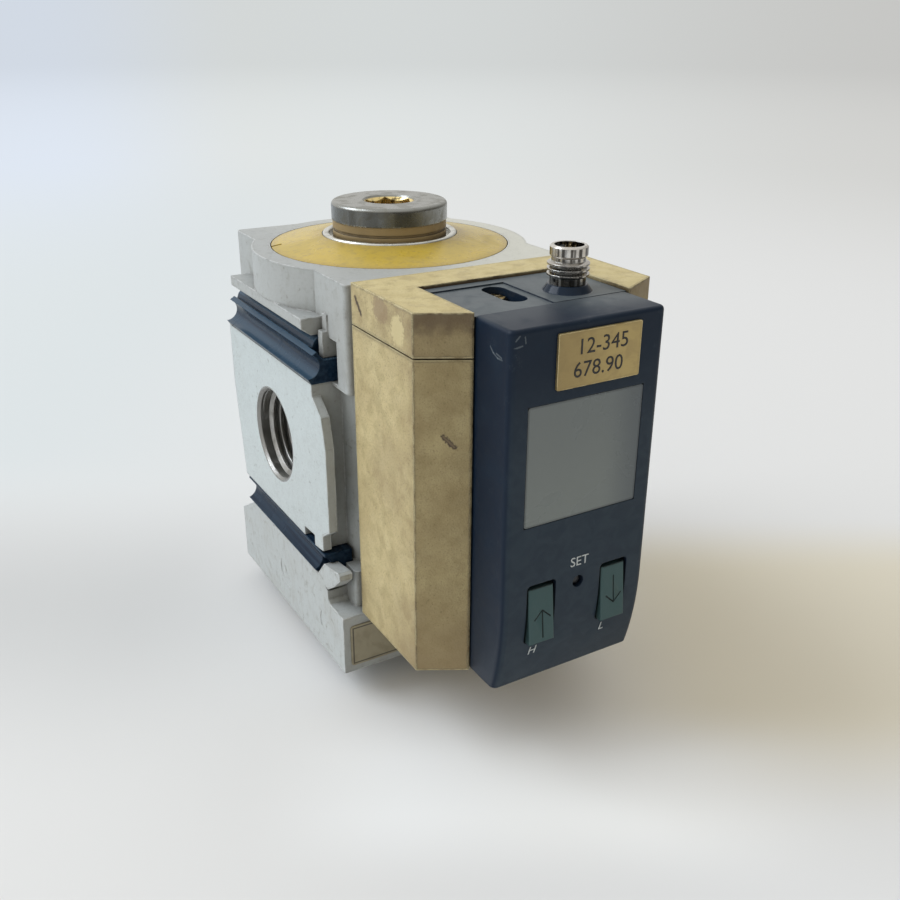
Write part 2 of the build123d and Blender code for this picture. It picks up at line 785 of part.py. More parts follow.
key_points = [(key_middle + side * key_pitch / 2, level(-key_centre_drop)) for side in (-1, 1)]
key_opening_points = [(x, z + (key_top_gap - key_gap) / 2) for x, z in key_points]
set_key_point = (key_middle, level(-set_key_drop))
window_point = (0, level(window_centre_rise))
with BuildPart() as sensor_front_housing:
    with BuildSketch(side_plane.offset(-half_sensor)):
        add(lid_profile())
    extrude(amount=sensor_width)
    face_edges = sensor_front_housing.edges().filter_by(
        lambda edge: abs(abs(edge.center().X) - half_sensor) < 0.01 and edge.center().Y < sensor_front + sensor_toe * 0.6
    )
    fillet(face_edges, radius=front_side_round)
    top_edges = sensor_front_housing.faces().sort_by(Axis.Z)[-1].edges().sort_by(Axis.Y)[:-1]
    fillet(top_edges, radius=front_top_round)
    with BuildSketch(side_plane.offset(-half_sensor + sensor_wall)):
        add(lid_profile())
        offset(amount=-sensor_wall, kind=Kind.INTERSECTION)
        with Locations((lid_back, level((sensor_rise - sensor_drop) / 2))):
            Rectangle(4 * sensor_wall, sensor_rise + sensor_drop - 2 * sensor_wall)
    extrude(amount=sensor_width - 2 * sensor_wall, mode=Mode.SUBTRACT)
    # Posts for the circuit board
    post_height = board_rise - post_radius - 0.8
    post_depth = board_drop - post_radius - 0.6
    with BuildSketch(front_plane.offset(-board_front)):
        with Locations((-post_side, level(post_height)), (post_side, level(post_height))):
            Circle(post_radius)
    extrude(amount=board_front - face_inner + sensor_wall / 2)
    with BuildSketch(front_plane.offset(-board_front)):
        with Locations((-post_side, level(-post_depth)), (post_side, level(-post_depth))):
            Circle(post_radius)
    extrude(amount=board_front - face_inner - sensor_wall / 3)
    # Window opening with a ledge for the lens
    with BuildSketch(front_plane.offset(-sensor_front)):
        with Locations(window_point):
            Rectangle(window_width + 2 * fit_gap, window_height + 2 * fit_gap)
    extrude(amount=-window_thickness - fit_gap, mode=Mode.SUBTRACT)
    with BuildSketch(front_plane.offset(-sensor_front)):
        with Locations(window_point):
            Rectangle(window_width - 2 * window_ledge, window_height - 2 * window_ledge)
    extrude(amount=-2 * sensor_wall, mode=Mode.SUBTRACT)
    # Openings for the two keys and the recessed set key
    with BuildSketch(front_plane.offset(-sensor_front)) as key_openings:
        with Locations(key_opening_points):
            RectangleRounded(key_width + 2 * key_side_gap, key_length + key_gap + key_top_gap, 0.9)
        with Locations(set_key_point):
            Circle(set_key_radius + set_key_gap)
    extrude(amount=-3 * sensor_wall, mode=Mode.SUBTRACT)
sensor_front_housing.part.label = "sensor_front_housing"
export_step(sensor_front_housing.part, "parts/sensor_front_housing.step")

# Flat display lens
with BuildPart() as display_window:
    with BuildSketch(front_plane.offset(-sensor_front - window_thickness)):
        with Locations(window_point):
            RectangleRounded(window_width, window_height, 0.5)
    extrude(amount=window_thickness - fit_gap / 2)
display_window.part.label = "display_window"
export_step(display_window.part, "parts/display_window.step")

# Liquid crystal module behind the lens
lcd_front = face_inner + fit_gap
with BuildPart() as lcd_module:
    with BuildSketch(front_plane.offset(-lcd_front)):
        with Locations(window_point):
            Rectangle(window_width + lcd_border, window_height + 2 * lcd_border)
    extrude(amount=-lcd_thickness)
lcd_module.part.label = "lcd_module"
export_step(lcd_module.part, "parts/lcd_module.step")

# Two rubber contact strips between the display and the board
with BuildPart() as contact_strips:
    with BuildSketch(front_plane.offset(-board_front)):
        with Locations(window_point):
            with GridLocations(1, window_height, 1, 2):
                Rectangle(window_width - 3.0, contact_strip_height)
    extrude(amount=board_front - lcd_front - lcd_thickness)
contact_strips.part.label = "contact_strips"
export_step(contact_strips.part, "parts/contact_strips.step")

# Circuit board
with BuildPart() as circuit_board:
    with BuildSketch(front_plane.offset(-board_front)):
        with Locations((0, level((board_rise - board_drop) / 2))):
            RectangleRounded(board_width, board_rise + board_drop, 1.0)
    extrude(amount=-board_thickness)
circuit_board.part.label = "circuit_board"
export_step(circuit_board.part, "parts/circuit_board.step")

# Key switches on the board, the keys that press them and the plungers between
plunger_front = board_front - switch_height - 0.8
stem_rest = plunger_front - switch_gap - key_travel
flange_rear = stem_rest - 0.3
for key_name, place in (("a", key_points[0]), ("b", key_points[1])):
    with BuildPart() as key_switch:
        with BuildSketch(front_plane.offset(-board_front)):
            with Locations(place):
                RectangleRounded(switch_side, switch_side, 0.5)
        extrude(amount=switch_height)
        with BuildSketch(front_plane.offset(-board_front + switch_height)):
            with Locations(place):
                Circle(plunger_radius)
        extrude(amount=0.8)
    key_switch.part.label = f"switch_{key_name}"
    export_step(key_switch.part, f"parts/switch_{key_name}.step")

    # The key's face leans out from its sunk upper end to its proud lower end
    with BuildPart() as key:
        with BuildSketch(side_plane.offset(place[0] - key_width / 2)):
            with BuildLine():
                Polyline(
                    (flange_rear, place[1] - key_length / 2),
                    (sensor_front - key_proud, place[1] - key_length / 2),
                    (sensor_front + key_sink, place[1] + key_length / 2),
                    (flange_rear, place[1] + key_length / 2),
                    close=True,
                )
            make_face()
        extrude(amount=key_width)
        front_rim = key.faces().sort_by(Axis.Y)[0].edges()
        fillet(front_rim, radius=key_round)
        with BuildSketch(front_plane.offset(-flange_rear)):
            with Locations(place):
                RectangleRounded(key_width + 2 * key_flange, key_length + 2 * key_end_flange, 0.5)
        extrude(amount=key_flange_plate)
        with BuildSketch(front_plane.offset(-stem_rest)):
            with Locations(place):
                Circle(key_stem_radius)
        extrude(amount=stem_rest - flange_rear)
    key.part.label = f"button_{key_name}"
    export_step(key.part, f"parts/button_{key_name}.step")

with BuildPart() as switch_set:
    with BuildSketch(front_plane.offset(-board_front)):
        with Locations(set_key_point):
            RectangleRounded(switch_side, switch_side, 0.5)
    extrude(amount=switch_height)
    with BuildSketch(front_plane.offset(-board_front + switch_height)):
        with Locations(set_key_point):
            Circle(plunger_radius)
    extrude(amount=0.8)
switch_set.part.label = "switch_set"
export_step(switch_set.part, "parts/switch_set.step")

set_stem_rest = plunger_front - switch_gap - set_key_travel
with BuildPart() as button_set:
    with BuildSketch(front_plane.offset(-set_stem_rest)):
        with Locations(set_key_point):
            Circle(set_key_radius)
    extrude(amount=set_stem_rest - sensor_front - set_key_recess)
    with BuildSketch(front_plane.offset(-flange_rear)):
        with Locations(set_key_point):
            Circle(set_key_radius + key_flange)
    extrude(amount=key_flange_plate)
button_set.part.label = "button_set"
export_step(button_set.part, "parts/button_set.step")

# Pressure nipple from the straight run to the sensor's cell
cell_front_end = rear_back - sensor_wall - fit_gap
nipple_sensor_end = cell_front_end - cell_socket + 0.4
body_face = cover_back + spigot_gap
with BuildPart() as pressure_nipple:
    with BuildSketch(front_plane.offset(-nipple_body_end)):
        with Locations((0, axis_height)):
            Circle(nipple_radius)
            Circle(nipple_bore, mode=Mode.SUBTRACT)
    extrude(amount=nipple_body_end - nipple_sensor_end)
    with BuildSketch(front_plane.offset(-body_face)):
        with Locations((0, axis_height)):
            Circle(nipple_collar_radius)
            Circle(nipple_bore, mode=Mode.SUBTRACT)
    extrude(amount=nipple_collar)
    for groove_y in (nipple_body_end - 3.0, nipple_sensor_end + 1.9):
        with BuildSketch(front_plane.offset(-groove_y)):
            with Locations((0, axis_height)):
                Circle(nipple_radius + 0.1)
                Circle(nipple_radius - 1.1, mode=Mode.SUBTRACT)
        extrude(amount=1.4, mode=Mode.SUBTRACT)
pressure_nipple.part.label = "pressure_nipple"
export_step(pressure_nipple.part, "parts/pressure_nipple.step")

nipple_ring = 0.55
for ring_name, groove_y in (("body_o_ring", nipple_body_end - 3.0), ("cell_o_ring", nipple_sensor_end + 1.9)):
    with BuildPart() as o_ring:
        with BuildSketch(Plane.XY.offset(axis_height)):
            with Locations((nipple_radius - nipple_ring + 0.03, groove_y - 0.7)):
                Circle(nipple_ring)
        revolve(axis=Axis((0, 0, axis_height), (0, 1, 0)))
    o_ring.part.label = ring_name
    export_step(o_ring.part, f"parts/{ring_name}.step")

# Pressure cell and its leads to the board
with BuildPart() as pressure_cell:
    with BuildSketch(front_plane.offset(-cell_front_end)):
        with Locations((0, axis_height)):
            Circle(cell_radius)
    extrude(amount=cell_length)
    with BuildSketch(front_plane.offset(-cell_front_end)):
        with Locations((0, axis_height)):
            Circle(nipple_radius + fit_gap)
    extrude(amount=cell_socket, mode=Mode.SUBTRACT)
pressure_cell.part.label = "pressure_cell"
export_step(pressure_cell.part, "parts/pressure_cell.step")

cell_rear_end = cell_front_end - cell_length
with BuildPart() as cell_leads:
    with BuildSketch(front_plane.offset(-cell_rear_end)):
        with Locations((0, axis_height)):
            with GridLocations(lead_pitch, lead_pitch, 2, 2):
                Circle(lead_radius)
    extrude(amount=cell_rear_end - board_front - board_thickness)
cell_leads.part.label = "cell_leads"
export_step(cell_leads.part, "parts/cell_leads.step")

# Metal barrel of the round connector, turned about its own axis
collar_top = sensor_rise + collar_rise
barrel_top = sensor_rise + barrel_rise
thread_base = collar_top + 1.3
thread_top = thread_base + barrel_thread_turns * barrel_thread_pitch
barrel_points = [
    (0, sensor_rise - sensor_wall - 1.8),
    (barrel_thread_radius, sensor_rise - sensor_wall - 1.8),
    (barrel_thread_radius, sensor_rise - sensor_wall),
    (barrel_shank_radius, sensor_rise - sensor_wall),
    (barrel_shank_radius, collar_top),
    (barrel_lower_radius, collar_top),
    (barrel_lower_radius, thread_base),
]
for turn in range(barrel_thread_turns):
    crest = thread_base + (turn + 0.5) * barrel_thread_pitch
    barrel_points.append((barrel_thread_radius, crest - 0.15))
    barrel_points.append((barrel_thread_radius, crest + 0.15))
    barrel_points.append((barrel_lower_radius, thread_base + (turn + 1) * barrel_thread_pitch))
barrel_points += [
    (barrel_neck_radius, thread_top),
    (barrel_neck_radius, barrel_top - barrel_head),
    (barrel_head_radius, barrel_top - barrel_head + 0.4),
    (barrel_head_radius, barrel_top - 0.3),
    (barrel_head_radius - 0.3, barrel_top),
    (barrel_bore, barrel_top),
    (barrel_bore, collar_top),
    (0, collar_top),
]
connector_plane = Plane(origin=(plug_x, plug_y, axis_height), x_dir=(1, 0, 0), z_dir=(0, -1, 0))
connector_axis = Axis((plug_x, plug_y, 0), (0, 0, 1))
with BuildPart() as connector_barrel:
    with BuildSketch(connector_plane):
        with BuildLine():
            Polyline(*barrel_points, close=True)
        make_face()
    revolve(axis=connector_axis)
connector_barrel.part.label = "connector_barrel"
export_step(connector_barrel.part, "parts/connector_barrel.step")

# Insulating insert with its key, and the four contact pins that stand in it
with BuildPart() as connector_insert:
    with BuildSketch(Plane.XY.offset(level(collar_top))):
        with Locations(connector_place):
            Circle(barrel_bore - 0.05)
            with PolarLocations(pin_circle / 2, 4, start_angle=45):
                Circle(pin_radius + 0.02, mode=Mode.SUBTRACT)
    extrude(amount=insert_height)
    with BuildSketch(Plane.XY.offset(level(collar_top + insert_height))):
        with Locations((plug_x, plug_y + barrel_bore - 0.6)):
            Rectangle(1.0, 0.7)
    extrude(amount=barrel_rise - collar_rise - insert_height - 0.6)
connector_insert.part.label = "connector_insert"
export_step(connector_insert.part, "parts/connector_insert.step")

with BuildPart() as contact_pins:
    with BuildSketch(Plane.XY.offset(level(collar_top))):
        with Locations(connector_place):
            with PolarLocations(pin_circle / 2, 4, start_angle=45):
                Circle(pin_radius)
    extrude(amount=pin_rise - collar_rise)
contact_pins.part.label = "contact_pins"
export_step(contact_pins.part, "parts/contact_pins.step")

# Fixing screw that stands in the oval well
well_floor = sensor_rise - slot_well
with BuildPart() as fixing_screw:
    with BuildSketch(Plane.XY.offset(level(well_floor))):
        with Locations((slot_x, slot_y + slot_length / 2 - slot_width / 2)):
            Circle(slot_width / 2 - key_gap)
    extrude(amount=slot_well - screw_sink)
    with BuildSketch(Plane.XY.offset(level(sensor_rise - screw_sink))):
        with Locations((slot_x, slot_y + slot_length / 2 - slot_width / 2)):
            Rectangle(slot_width, 0.7)
    extrude(amount=-1.0, mode=Mode.SUBTRACT)
fixing_screw.part.label = "fixing_screw"
export_step(fixing_screw.part, "parts/fixing_screw.step")

# Marking tag on the sensor's face and rating plate on the lower block
with BuildPart() as tag_plate:
    with BuildSketch(front_plane.offset(-sensor_front)):
        with Locations((tag_centre_x, level(tag_centre_rise))):
            RectangleRounded(tag_width, tag_height, tag_corner)
    extrude(amount=tag_thickness)
tag_plate.part.label = "tag_plate"
export_step(tag_plate.part, "parts/tag_plate.step")

with BuildPart() as rating_plate:
    with BuildSketch(front_plane.offset(-lower_block_front)):
        with Locations((rating_left + rating_width / 2, level(-rating_centre_drop))):
            RectangleRounded(rating_width, rating_height, 0.6)
    extrude(amount=rating_thickness)
rating_plate.part.label = "rating_plate"
export_step(rating_plate.part, "parts/rating_plate.step")
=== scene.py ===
"""Studio scene of a compressed-air branching module with a display pressure sensor.

Each sub-assembly of the module is a class that dresses its solids and adds the
fine pieces on them: threads, cast ridges, engraved arrows, printed marks and the
seal in the cover's seam. Lengths are metres; sizes in names that end in _mm are
millimetres, and so are the places that the finishes of the module work with.
"""
from __future__ import annotations

import logging
import math
from dataclasses import dataclass, field
from enum import Enum
from typing import ClassVar

import bmesh
import bpy
from mathutils import Matrix, Vector


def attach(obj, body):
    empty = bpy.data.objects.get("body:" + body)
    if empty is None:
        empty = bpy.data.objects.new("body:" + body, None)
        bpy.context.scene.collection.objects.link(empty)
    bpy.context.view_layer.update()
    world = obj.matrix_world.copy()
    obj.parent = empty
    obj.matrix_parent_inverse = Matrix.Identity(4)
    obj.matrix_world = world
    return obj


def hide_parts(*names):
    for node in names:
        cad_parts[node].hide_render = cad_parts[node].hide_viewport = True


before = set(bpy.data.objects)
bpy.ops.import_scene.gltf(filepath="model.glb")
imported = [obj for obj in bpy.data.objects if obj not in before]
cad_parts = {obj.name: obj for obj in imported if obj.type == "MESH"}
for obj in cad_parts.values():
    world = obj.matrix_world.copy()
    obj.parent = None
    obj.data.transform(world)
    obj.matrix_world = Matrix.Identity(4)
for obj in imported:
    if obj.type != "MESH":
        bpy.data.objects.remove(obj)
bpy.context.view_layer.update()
LOG = logging.getLogger("branching_module")
MM = 0.001
PORT_AXIS_MM = 51.1

Socket = bpy.types.NodeSocket
Outputs = bpy.types.bpy_prop_collection
Value = "Socket | float | tuple[float, ...]"
Layer = "tuple[Value, ...]"
Point = tuple[float, float, float]
Pair = tuple[float, float]

ORIGIN: Point = (0.0, 0.0, 0.0)
SPECULAR = "Specular IOR Level"
STUDIO_EYE_MM: Point = (-104.10, -203.65, 140.70)
STUDIO_YAW = 0.534
STUDIO_RIGHT: Point = (math.cos(STUDIO_YAW), -math.sin(STUDIO_YAW), 0.0)
STUDIO_AWAY: Point = (math.sin(STUDIO_YAW), math.cos(STUDIO_YAW), 0.0)
LIT_SIDE: Point = (-0.51, -0.86, 0.0)
SHADED_SIDE: Point = (0.86, -0.51, 0.0)


class Body(Enum):
    """Rigid bodies that carry pieces of the scene's own."""

    MODULE = "module"
    KEY_A = "key_a"
    KEY_B = "key_b"


class Effect(Enum):
    """Surface effects that several finishes share."""

    # Paler edges: rubbed, with a painted edge highlight.
    EDGE = "worn edge"
    GRAIN = "moulded grain"
    CLOUD = "soft clouding"
    SCRATCH = "fine scratches"
    SPOT = "local spot"
    BAND = "band along an axis"
    # Painted shade: darkens corners and gaps by how little open sky they see.
    RECESS = "painted recess shade"
    STROKE = "single stroke"
    GLINT = "reflected bands"


class Graph:
    """Thin helper that adds and joins shader nodes in one tree."""

    def __init__(self, tree: bpy.types.NodeTree) -> None:
        """Keeps the tree that the nodes go into."""
        self.tree = tree

    def node(self, kind: str, inputs: dict | None = None, **settings: object) -> bpy.types.Node:
        """Adds a node.

        Args:
            kind: Node type after the ShaderNode prefix.
            inputs: Values or sockets by input name or index.
            settings: Attributes of the node itself.

        Returns:
            The new node.
        """
        made = self.tree.nodes.new("ShaderNode" + kind)
        for name, value in settings.items():
            setattr(made, name, value)
        for name, value in (inputs or {}).items():
            self.join(made.inputs[name], value)
        return made

    def join(self, target: Socket, value: Value) -> None:
        """Sets an input to a value or links a socket to it.

        Args:
            target: The input.
            value: A socket, or a constant that the input can hold.
        """
        if isinstance(value, bpy.types.NodeSocket):
            self.tree.links.new(value, target)
        elif isinstance(value, tuple) and len(value) == 3 and target.type == "RGBA":
            target.default_value = (*value, 1.0)
        else:
            target.default_value = value

    def math(self, operation: str, a: Value, b: Value = 0.0, clamp: bool = False) -> Socket:
        """Returns a scalar operation of two values."""
        return self.node("Math", {0: a, 1: b}, operation=operation, use_clamp=clamp).outputs[0]

    def plus(self, a: Value, b: Value) -> Socket:
        """Returns the sum of two values."""
        return self.math("ADD", a, b)

    def minus(self, a: Value, b: Value) -> Socket:
        """Returns the first value less the second."""
        return self.math("SUBTRACT", a, b)

    def absolute(self, value: Value) -> Socket:
        """Returns a value without its sign."""
        return self.math("ABSOLUTE", value)

    def times(self, *factors: Value) -> Value:
        """Returns the product of the factors.

        Args:
            factors: One value or more.

        Returns:
            The product, or the value itself if there is only one.
        """
        product = factors[0]
        for factor in factors[1:]:
            product = self.math("MULTIPLY", product, factor)
        return product

    def total(self, start: Value, *terms: Layer) -> Value:
        """Returns a sum of products.

        Args:
            start: The first term.
            terms: The factors of each further term.

        Returns:
            The sum.
        """
        for factors in terms:
            start = self.plus(start, self.times(*factors))
        return start

    def radius(self, a: Value, b: Value) -> Socket:
        """Returns the length of a flat vector with these two parts."""
        return self.math("SQRT", self.plus(self.times(a, a), self.times(b, b)))

    def vector(self, operation: str, a: Value, b: Value = ORIGIN, out: int = 0) -> Socket:
        """Returns a vector operation of two values."""
        return self.node("VectorMath", {0: a, 1: b}, operation=operation).outputs[out]

    def dot(self, a: Value, b: Value) -> Socket:
        """Returns the dot product of two vectors."""
        return self.vector("DOT_PRODUCT", a, b, out=1)

    def length(self, way: Value) -> Socket:
        """Returns the length of a vector."""
        return self.vector("LENGTH", way, out=1)

    def stretch(self, place: Value, factors: Point) -> Socket:
        """Returns the place scaled along each axis."""
        return self.vector("MULTIPLY", place, factors)

    def split(self, place: Value) -> tuple[Socket, Socket, Socket]:
        """Returns the three parts of a vector."""
        made = self.node("SeparateXYZ", {0: place})
        return made.outputs[0], made.outputs[1], made.outputs[2]

    def normal(self) -> Socket:
        """Returns the surface's normal."""
        return self.node("NewGeometry").outputs["Normal"]

    def mix(self, factor: Value, a: Value, b: Value) -> Socket:
        """Returns colour a blended towards colour b."""
        return self.node("Mix", {0: factor, 6: a, 7: b}, data_type="RGBA", blend_type="MIX").outputs[2]

    def layered(self, base: Value, *layers: Layer) -> Value:
        """Returns a colour under layers of other colours.

        Args:
            base: The lowest colour.
            layers: The colour of each layer, and the factors of its strength.

        Returns:
            The colour on top.
        """
        for colour, *factors in layers:
            base = self.mix(self.times(*factors), base, colour)
        return base

    def step(self, value: Value, low: Value, high: Value, start: float = 0.0, end: float = 1.0) -> Socket:
        """Returns value mapped smoothly from low..high to start..end."""
        limits = {"Value": value, "From Min": low, "From Max": high, "To Min": start, "To Max": end}
        return self.node("MapRange", limits, interpolation_type="SMOOTHSTEP").outputs[0]

    def fall(self, value: Value, low: Value, high: Value) -> Socket:
        """Returns one below low, falling smoothly to zero at high."""
        return self.step(value, low, high, 1.0, 0.0)

    def between(self, mask: Value, start: float, end: float) -> Socket:
        """Returns start where a mask is zero and end where it is one."""
        return self.step(mask, 0.0, 1.0, start, end)

    def noise(self, place: Value, scale: Value, detail: float, distortion: float = 0.0) -> Socket:
        """Returns a noise value around one half."""
        inputs = {"Vector": place, "Scale": scale, "Detail": detail, "Distortion": distortion}
        return self.node("TexNoise", inputs).outputs[0]

    def wobble(self, place: Value, scale: Value, detail: float, amount: Value) -> Socket:
        """Returns noise about zero of a given amount."""
        return self.times(self.minus(self.noise(place, scale, detail), 0.5), amount)

    def veins(self, noise: Value, thin: float, wide: float) -> Socket:
        """Returns thin lines where a noise passes one half."""
        return self.fall(self.absolute(self.minus(noise, 0.5)), thin, wide)

    def effect(self, kind: Effect, **inputs: Value) -> Outputs:
        """Places a shared effect.

        Args:
            kind: The effect.
            inputs: Values or sockets by input name, in lower case.

        Returns:
            The outputs of its group node.
        """
        made = self.node("Group")
        made.node_tree = shared_effect(kind)
        for name, value in inputs.items():
            self.join(made.inputs[name.capitalize()], value)
        return made.outputs

    def band(self, value: Value, low: float, high: float, soft: float = 0.05) -> Socket:
        """Returns one where a value lies between two limits."""
        return self.effect(Effect.BAND, value=value, low=low, high=high, soft=soft)["Mask"]


class Skin(Graph):
    """Graph of a material, with where its points lie in millimetres and which way they face."""

    def __init__(self, tree: bpy.types.NodeTree) -> None:
        """Adds the nodes that give the place and the normal.

        Args:
            tree: The material's node tree.
        """
        super().__init__(tree)
        inputs = {0: self.node("TexCoord").outputs["Object"], "Scale": 1.0 / MM}
        self.place = self.node("VectorMath", inputs, operation="SCALE").outputs[0]
        self.x, self.y, self.z = self.split(self.place)
        self.facing = self.normal()
        self.across, self.ahead, self.up = self.split(self.facing)

    def grit(self, scale: float, detail: float, distortion: float = 0.0, squeeze: Point = (1.0, 1.0, 1.0)) -> Socket:
        """Returns a noise value at the place, squeezed along each axis."""
        return self.noise(self.stretch(self.place, squeeze), scale, detail, distortion)

    def inset(self, middle: Pair, half: Pair) -> Socket:
        """Returns how far a point lies inside an upright rectangle.

        Args:
            middle: The rectangle's middle in x and z.
            half: Half of its width and of its height.

        Returns:
            The distance to its nearest side.
        """
        beside = self.minus(half[0], self.absolute(self.minus(self.x, middle[0])))
        above = self.minus(half[1], self.absolute(self.minus(self.z, middle[1])))
        return self.math("MINIMUM", beside, above)

    def edge(self, radius: float, gain: float, breakup: float) -> Outputs:
        """Returns the outputs of the edge effect: rubbed edges with a painted highlight."""
        return self.effect(Effect.EDGE, place=self.place, radius=radius, gain=gain, breakup=breakup)

    def soft(self, radius: float) -> Socket:
        """Returns the normal with its edges rounded by a radius."""
        return self.effect(Effect.EDGE, place=self.place, radius=radius)["Normal"]

    def fine(self, scale: float) -> Socket:
        """Returns the height of a fine grain."""
        return self.effect(Effect.GRAIN, place=self.place, scale=scale)["Fine"]

    def cloud(self, scale: float, low: float, high: float) -> Socket:
        """Returns broad soft patches."""
        return self.effect(Effect.CLOUD, place=self.place, scale=scale, low=low, high=high)["Mask"]

    def scratch(self, scale: float, density: float) -> Socket:
        """Returns sparse thin scratches."""
        return self.effect(Effect.SCRATCH, place=self.place, scale=scale, density=density)["Mask"]

    def recess(self, reach: float, low: float, high: float, ragged: float) -> Socket:
        """Returns where shade is painted, deep in corners and gaps."""
        return self.effect(Effect.RECESS, place=self.place, reach=reach, low=low, high=high, ragged=ragged)["Mask"]

    def spot(self, centre: Point, spread: Point, ragged: float) -> Socket:
        """Returns a ragged patch about one place."""
        return self.effect(Effect.SPOT, place=self.place, centre=centre, spread=spread, ragged=ragged)["Mask"]

    def stroke(self, start: Point, way: Point, width: float) -> Socket:
        """Returns a thin line from a start along a way."""
        return self.effect(Effect.STROKE, place=self.place, start=start, way=way, width=width)["Mask"]


def new_group(
    kind: Effect, inputs: dict[str, float | Point], outputs: tuple[str, ...] = ("Mask",)
) -> tuple[Graph, Outputs, Outputs]:
    """Starts a shader node group.

    Args:
        kind: The effect, whose value names the group.
        inputs: Default of each input; a tuple makes a vector.
        outputs: Names of the outputs: Normal is a vector, any other a number.

    Returns:
        The graph, the group's inputs and its outputs.
    """
    tree = bpy.data.node_groups.new(kind.value, "ShaderNodeTree")
    for name, default in inputs.items():
        socket_type = "NodeSocketVector" if isinstance(default, tuple) else "NodeSocketFloat"
        tree.interface.new_socket(name, in_out="INPUT", socket_type=socket_type).default_value = default
    for name in outputs:
        socket_type = "NodeSocketVector" if name == "Normal" else "NodeSocketFloat"
        tree.interface.new_socket(name, in_out="OUTPUT", socket_type=socket_type)
    source = tree.nodes.new("NodeGroupInput")
    sink = tree.nodes.new("NodeGroupOutput")
    return Graph(tree), source.outputs, sink.inputs


def edge_effect() -> bpy.types.NodeTree:
    """Makes the edge group, for rubbed edges with a painted highlight.

    Returns:
        The group: a broken mask along edges, a thin ragged line beside them and a rounded normal.
    """
    inputs = {"Place": ORIGIN, "Radius": 0.4, "Gain": 3.0, "Breakup": 0.5}
    g, source, sink = new_group(Effect.EDGE, inputs, ("Mask", "Line", "Normal"))
    rounded = g.node("Bevel", {"Radius": g.times(source["Radius"], MM)}, samples=6).outputs[0]
    turned = g.minus(1.0, g.dot(rounded, g.normal()))
    patchy = g.noise(source["Place"], source["Breakup"], 4.0)
    gained = g.times(turned, source["Gain"], g.step(patchy, 0.38, 0.62))
    g.join(sink["Mask"], g.math("MINIMUM", gained, 1.0, clamp=True))
    ragged = g.total(turned, (g.minus(patchy, 0.5), 0.1))
    line = g.times(g.step(ragged, 0.002, 0.02), g.fall(ragged, 0.06, 0.14), g.step(turned, 0.0, 0.003))
    g.join(sink["Line"], line)
    g.join(sink["Normal"], rounded)
    return g.tree


def grain_effect() -> bpy.types.NodeTree:
    """Makes the grain group.

    Returns:
        The group: fine moulded or blasted texture, and coarse mottling.
    """
    inputs = {"Place": ORIGIN, "Scale": 4.0, "Mottle": 0.6}
    g, source, sink = new_group(Effect.GRAIN, inputs, ("Fine", "Coarse"))
    cells = g.node("TexVoronoi", {"Vector": source["Place"], "Scale": source["Scale"]}, feature="F1")
    even = g.noise(source["Place"], source["Scale"], 2.0)
    g.join(sink["Fine"], g.total(g.times(cells.outputs["Distance"], 0.6), (even, 0.4)))
    g.join(sink["Coarse"], g.noise(source["Place"], source["Mottle"], 6.0, 0.4))
    return g.tree


def cloud_effect() -> bpy.types.NodeTree:
    """Makes the clouding group.

    Returns:
        The group: broad soft patches between two limits.
    """
    g, source, sink = new_group(Effect.CLOUD, {"Place": ORIGIN, "Scale": 0.08, "Low": 0.4, "High": 0.65})
    broad = g.noise(source["Place"], source["Scale"], 5.0, 0.6)
    g.join(sink["Mask"], g.step(broad, source["Low"], source["High"]))
    return g.tree


def scratch_effect() -> bpy.types.NodeTree:
    """Makes the scratch group.

    Returns:
        The group: sparse thin lines in two directions.
    """
    g, source, sink = new_group(Effect.SCRATCH, {"Place": ORIGIN, "Scale": 1.0, "Density": 0.5})
    gate = g.step(g.noise(source["Place"], 0.35, 2.0), g.minus(1.0, source["Density"]), 0.75)
    shown = []
    for turn, squeeze in (((0.6, 0.4, 0.9), (0.12, 2.6, 2.6)), ((2.2, 1.4, 0.2), (2.6, 0.1, 2.2))):
        inputs = {"Vector": source["Place"], "Rotation": turn}
        turned = g.node("VectorRotate", inputs, rotation_type="EULER_XYZ").outputs[0]
        line = g.noise(g.stretch(turned, squeeze), source["Scale"], 1.0)
        shown.append(g.times(g.veins(line, 0.0, 0.012), gate))
    g.join(sink["Mask"], g.math("MAXIMUM", *shown))
    return g.tree


def spot_effect() -> bpy.types.NodeTree:
    """Makes the spot group.

    Returns:
        The group: a ragged patch about one place.
    """
    inputs = {"Place": ORIGIN, "Centre": ORIGIN, "Spread": (1.0, 1.0, 1.0), "Ragged": 0.5}
    g, source, sink = new_group(Effect.SPOT, inputs)
    away = g.vector("DIVIDE", g.vector("SUBTRACT", source["Place"], source["Centre"]), source["Spread"])
    reach = g.plus(g.length(away), g.wobble(source["Place"], 1.6, 4.0, source["Ragged"]))
    g.join(sink["Mask"], g.fall(reach, 0.75, 1.1))
    return g.tree


def band_effect() -> bpy.types.NodeTree:
    """Makes the band group.

    Returns:
        The group: one where a value lies between two limits.
    """
    g, source, sink = new_group(Effect.BAND, {"Value": 0.0, "Low": 0.0, "High": 1.0, "Soft": 0.05})
    above = g.step(source["Value"], source["Low"], g.plus(source["Low"], source["Soft"]))
    below = g.fall(source["Value"], g.minus(source["High"], source["Soft"]), source["High"])
    g.join(sink["Mask"], g.times(above, below))
    return g.tree


def recess_effect() -> bpy.types.NodeTree:
    """Makes the recess group.

    Returns:
        The group: painted shade, one deep in corners and gaps, broken by noise.
    """
    inputs = {"Place": ORIGIN, "Reach": 2.0, "Low": 0.35, "High": 0.8, "Ragged": 0.25}
    g, source, sink = new_group(Effect.RECESS, inputs)
    reach = g.times(source["Reach"], MM)
    open_sky = g.node("AmbientOcclusion", {"Distance": reach}, samples=8).outputs["AO"]
    ragged = g.plus(open_sky, g.wobble(source["Place"], 0.9, 4.0, source["Ragged"]))
    g.join(sink["Mask"], g.fall(ragged, source["Low"], source["High"]))
    return g.tree


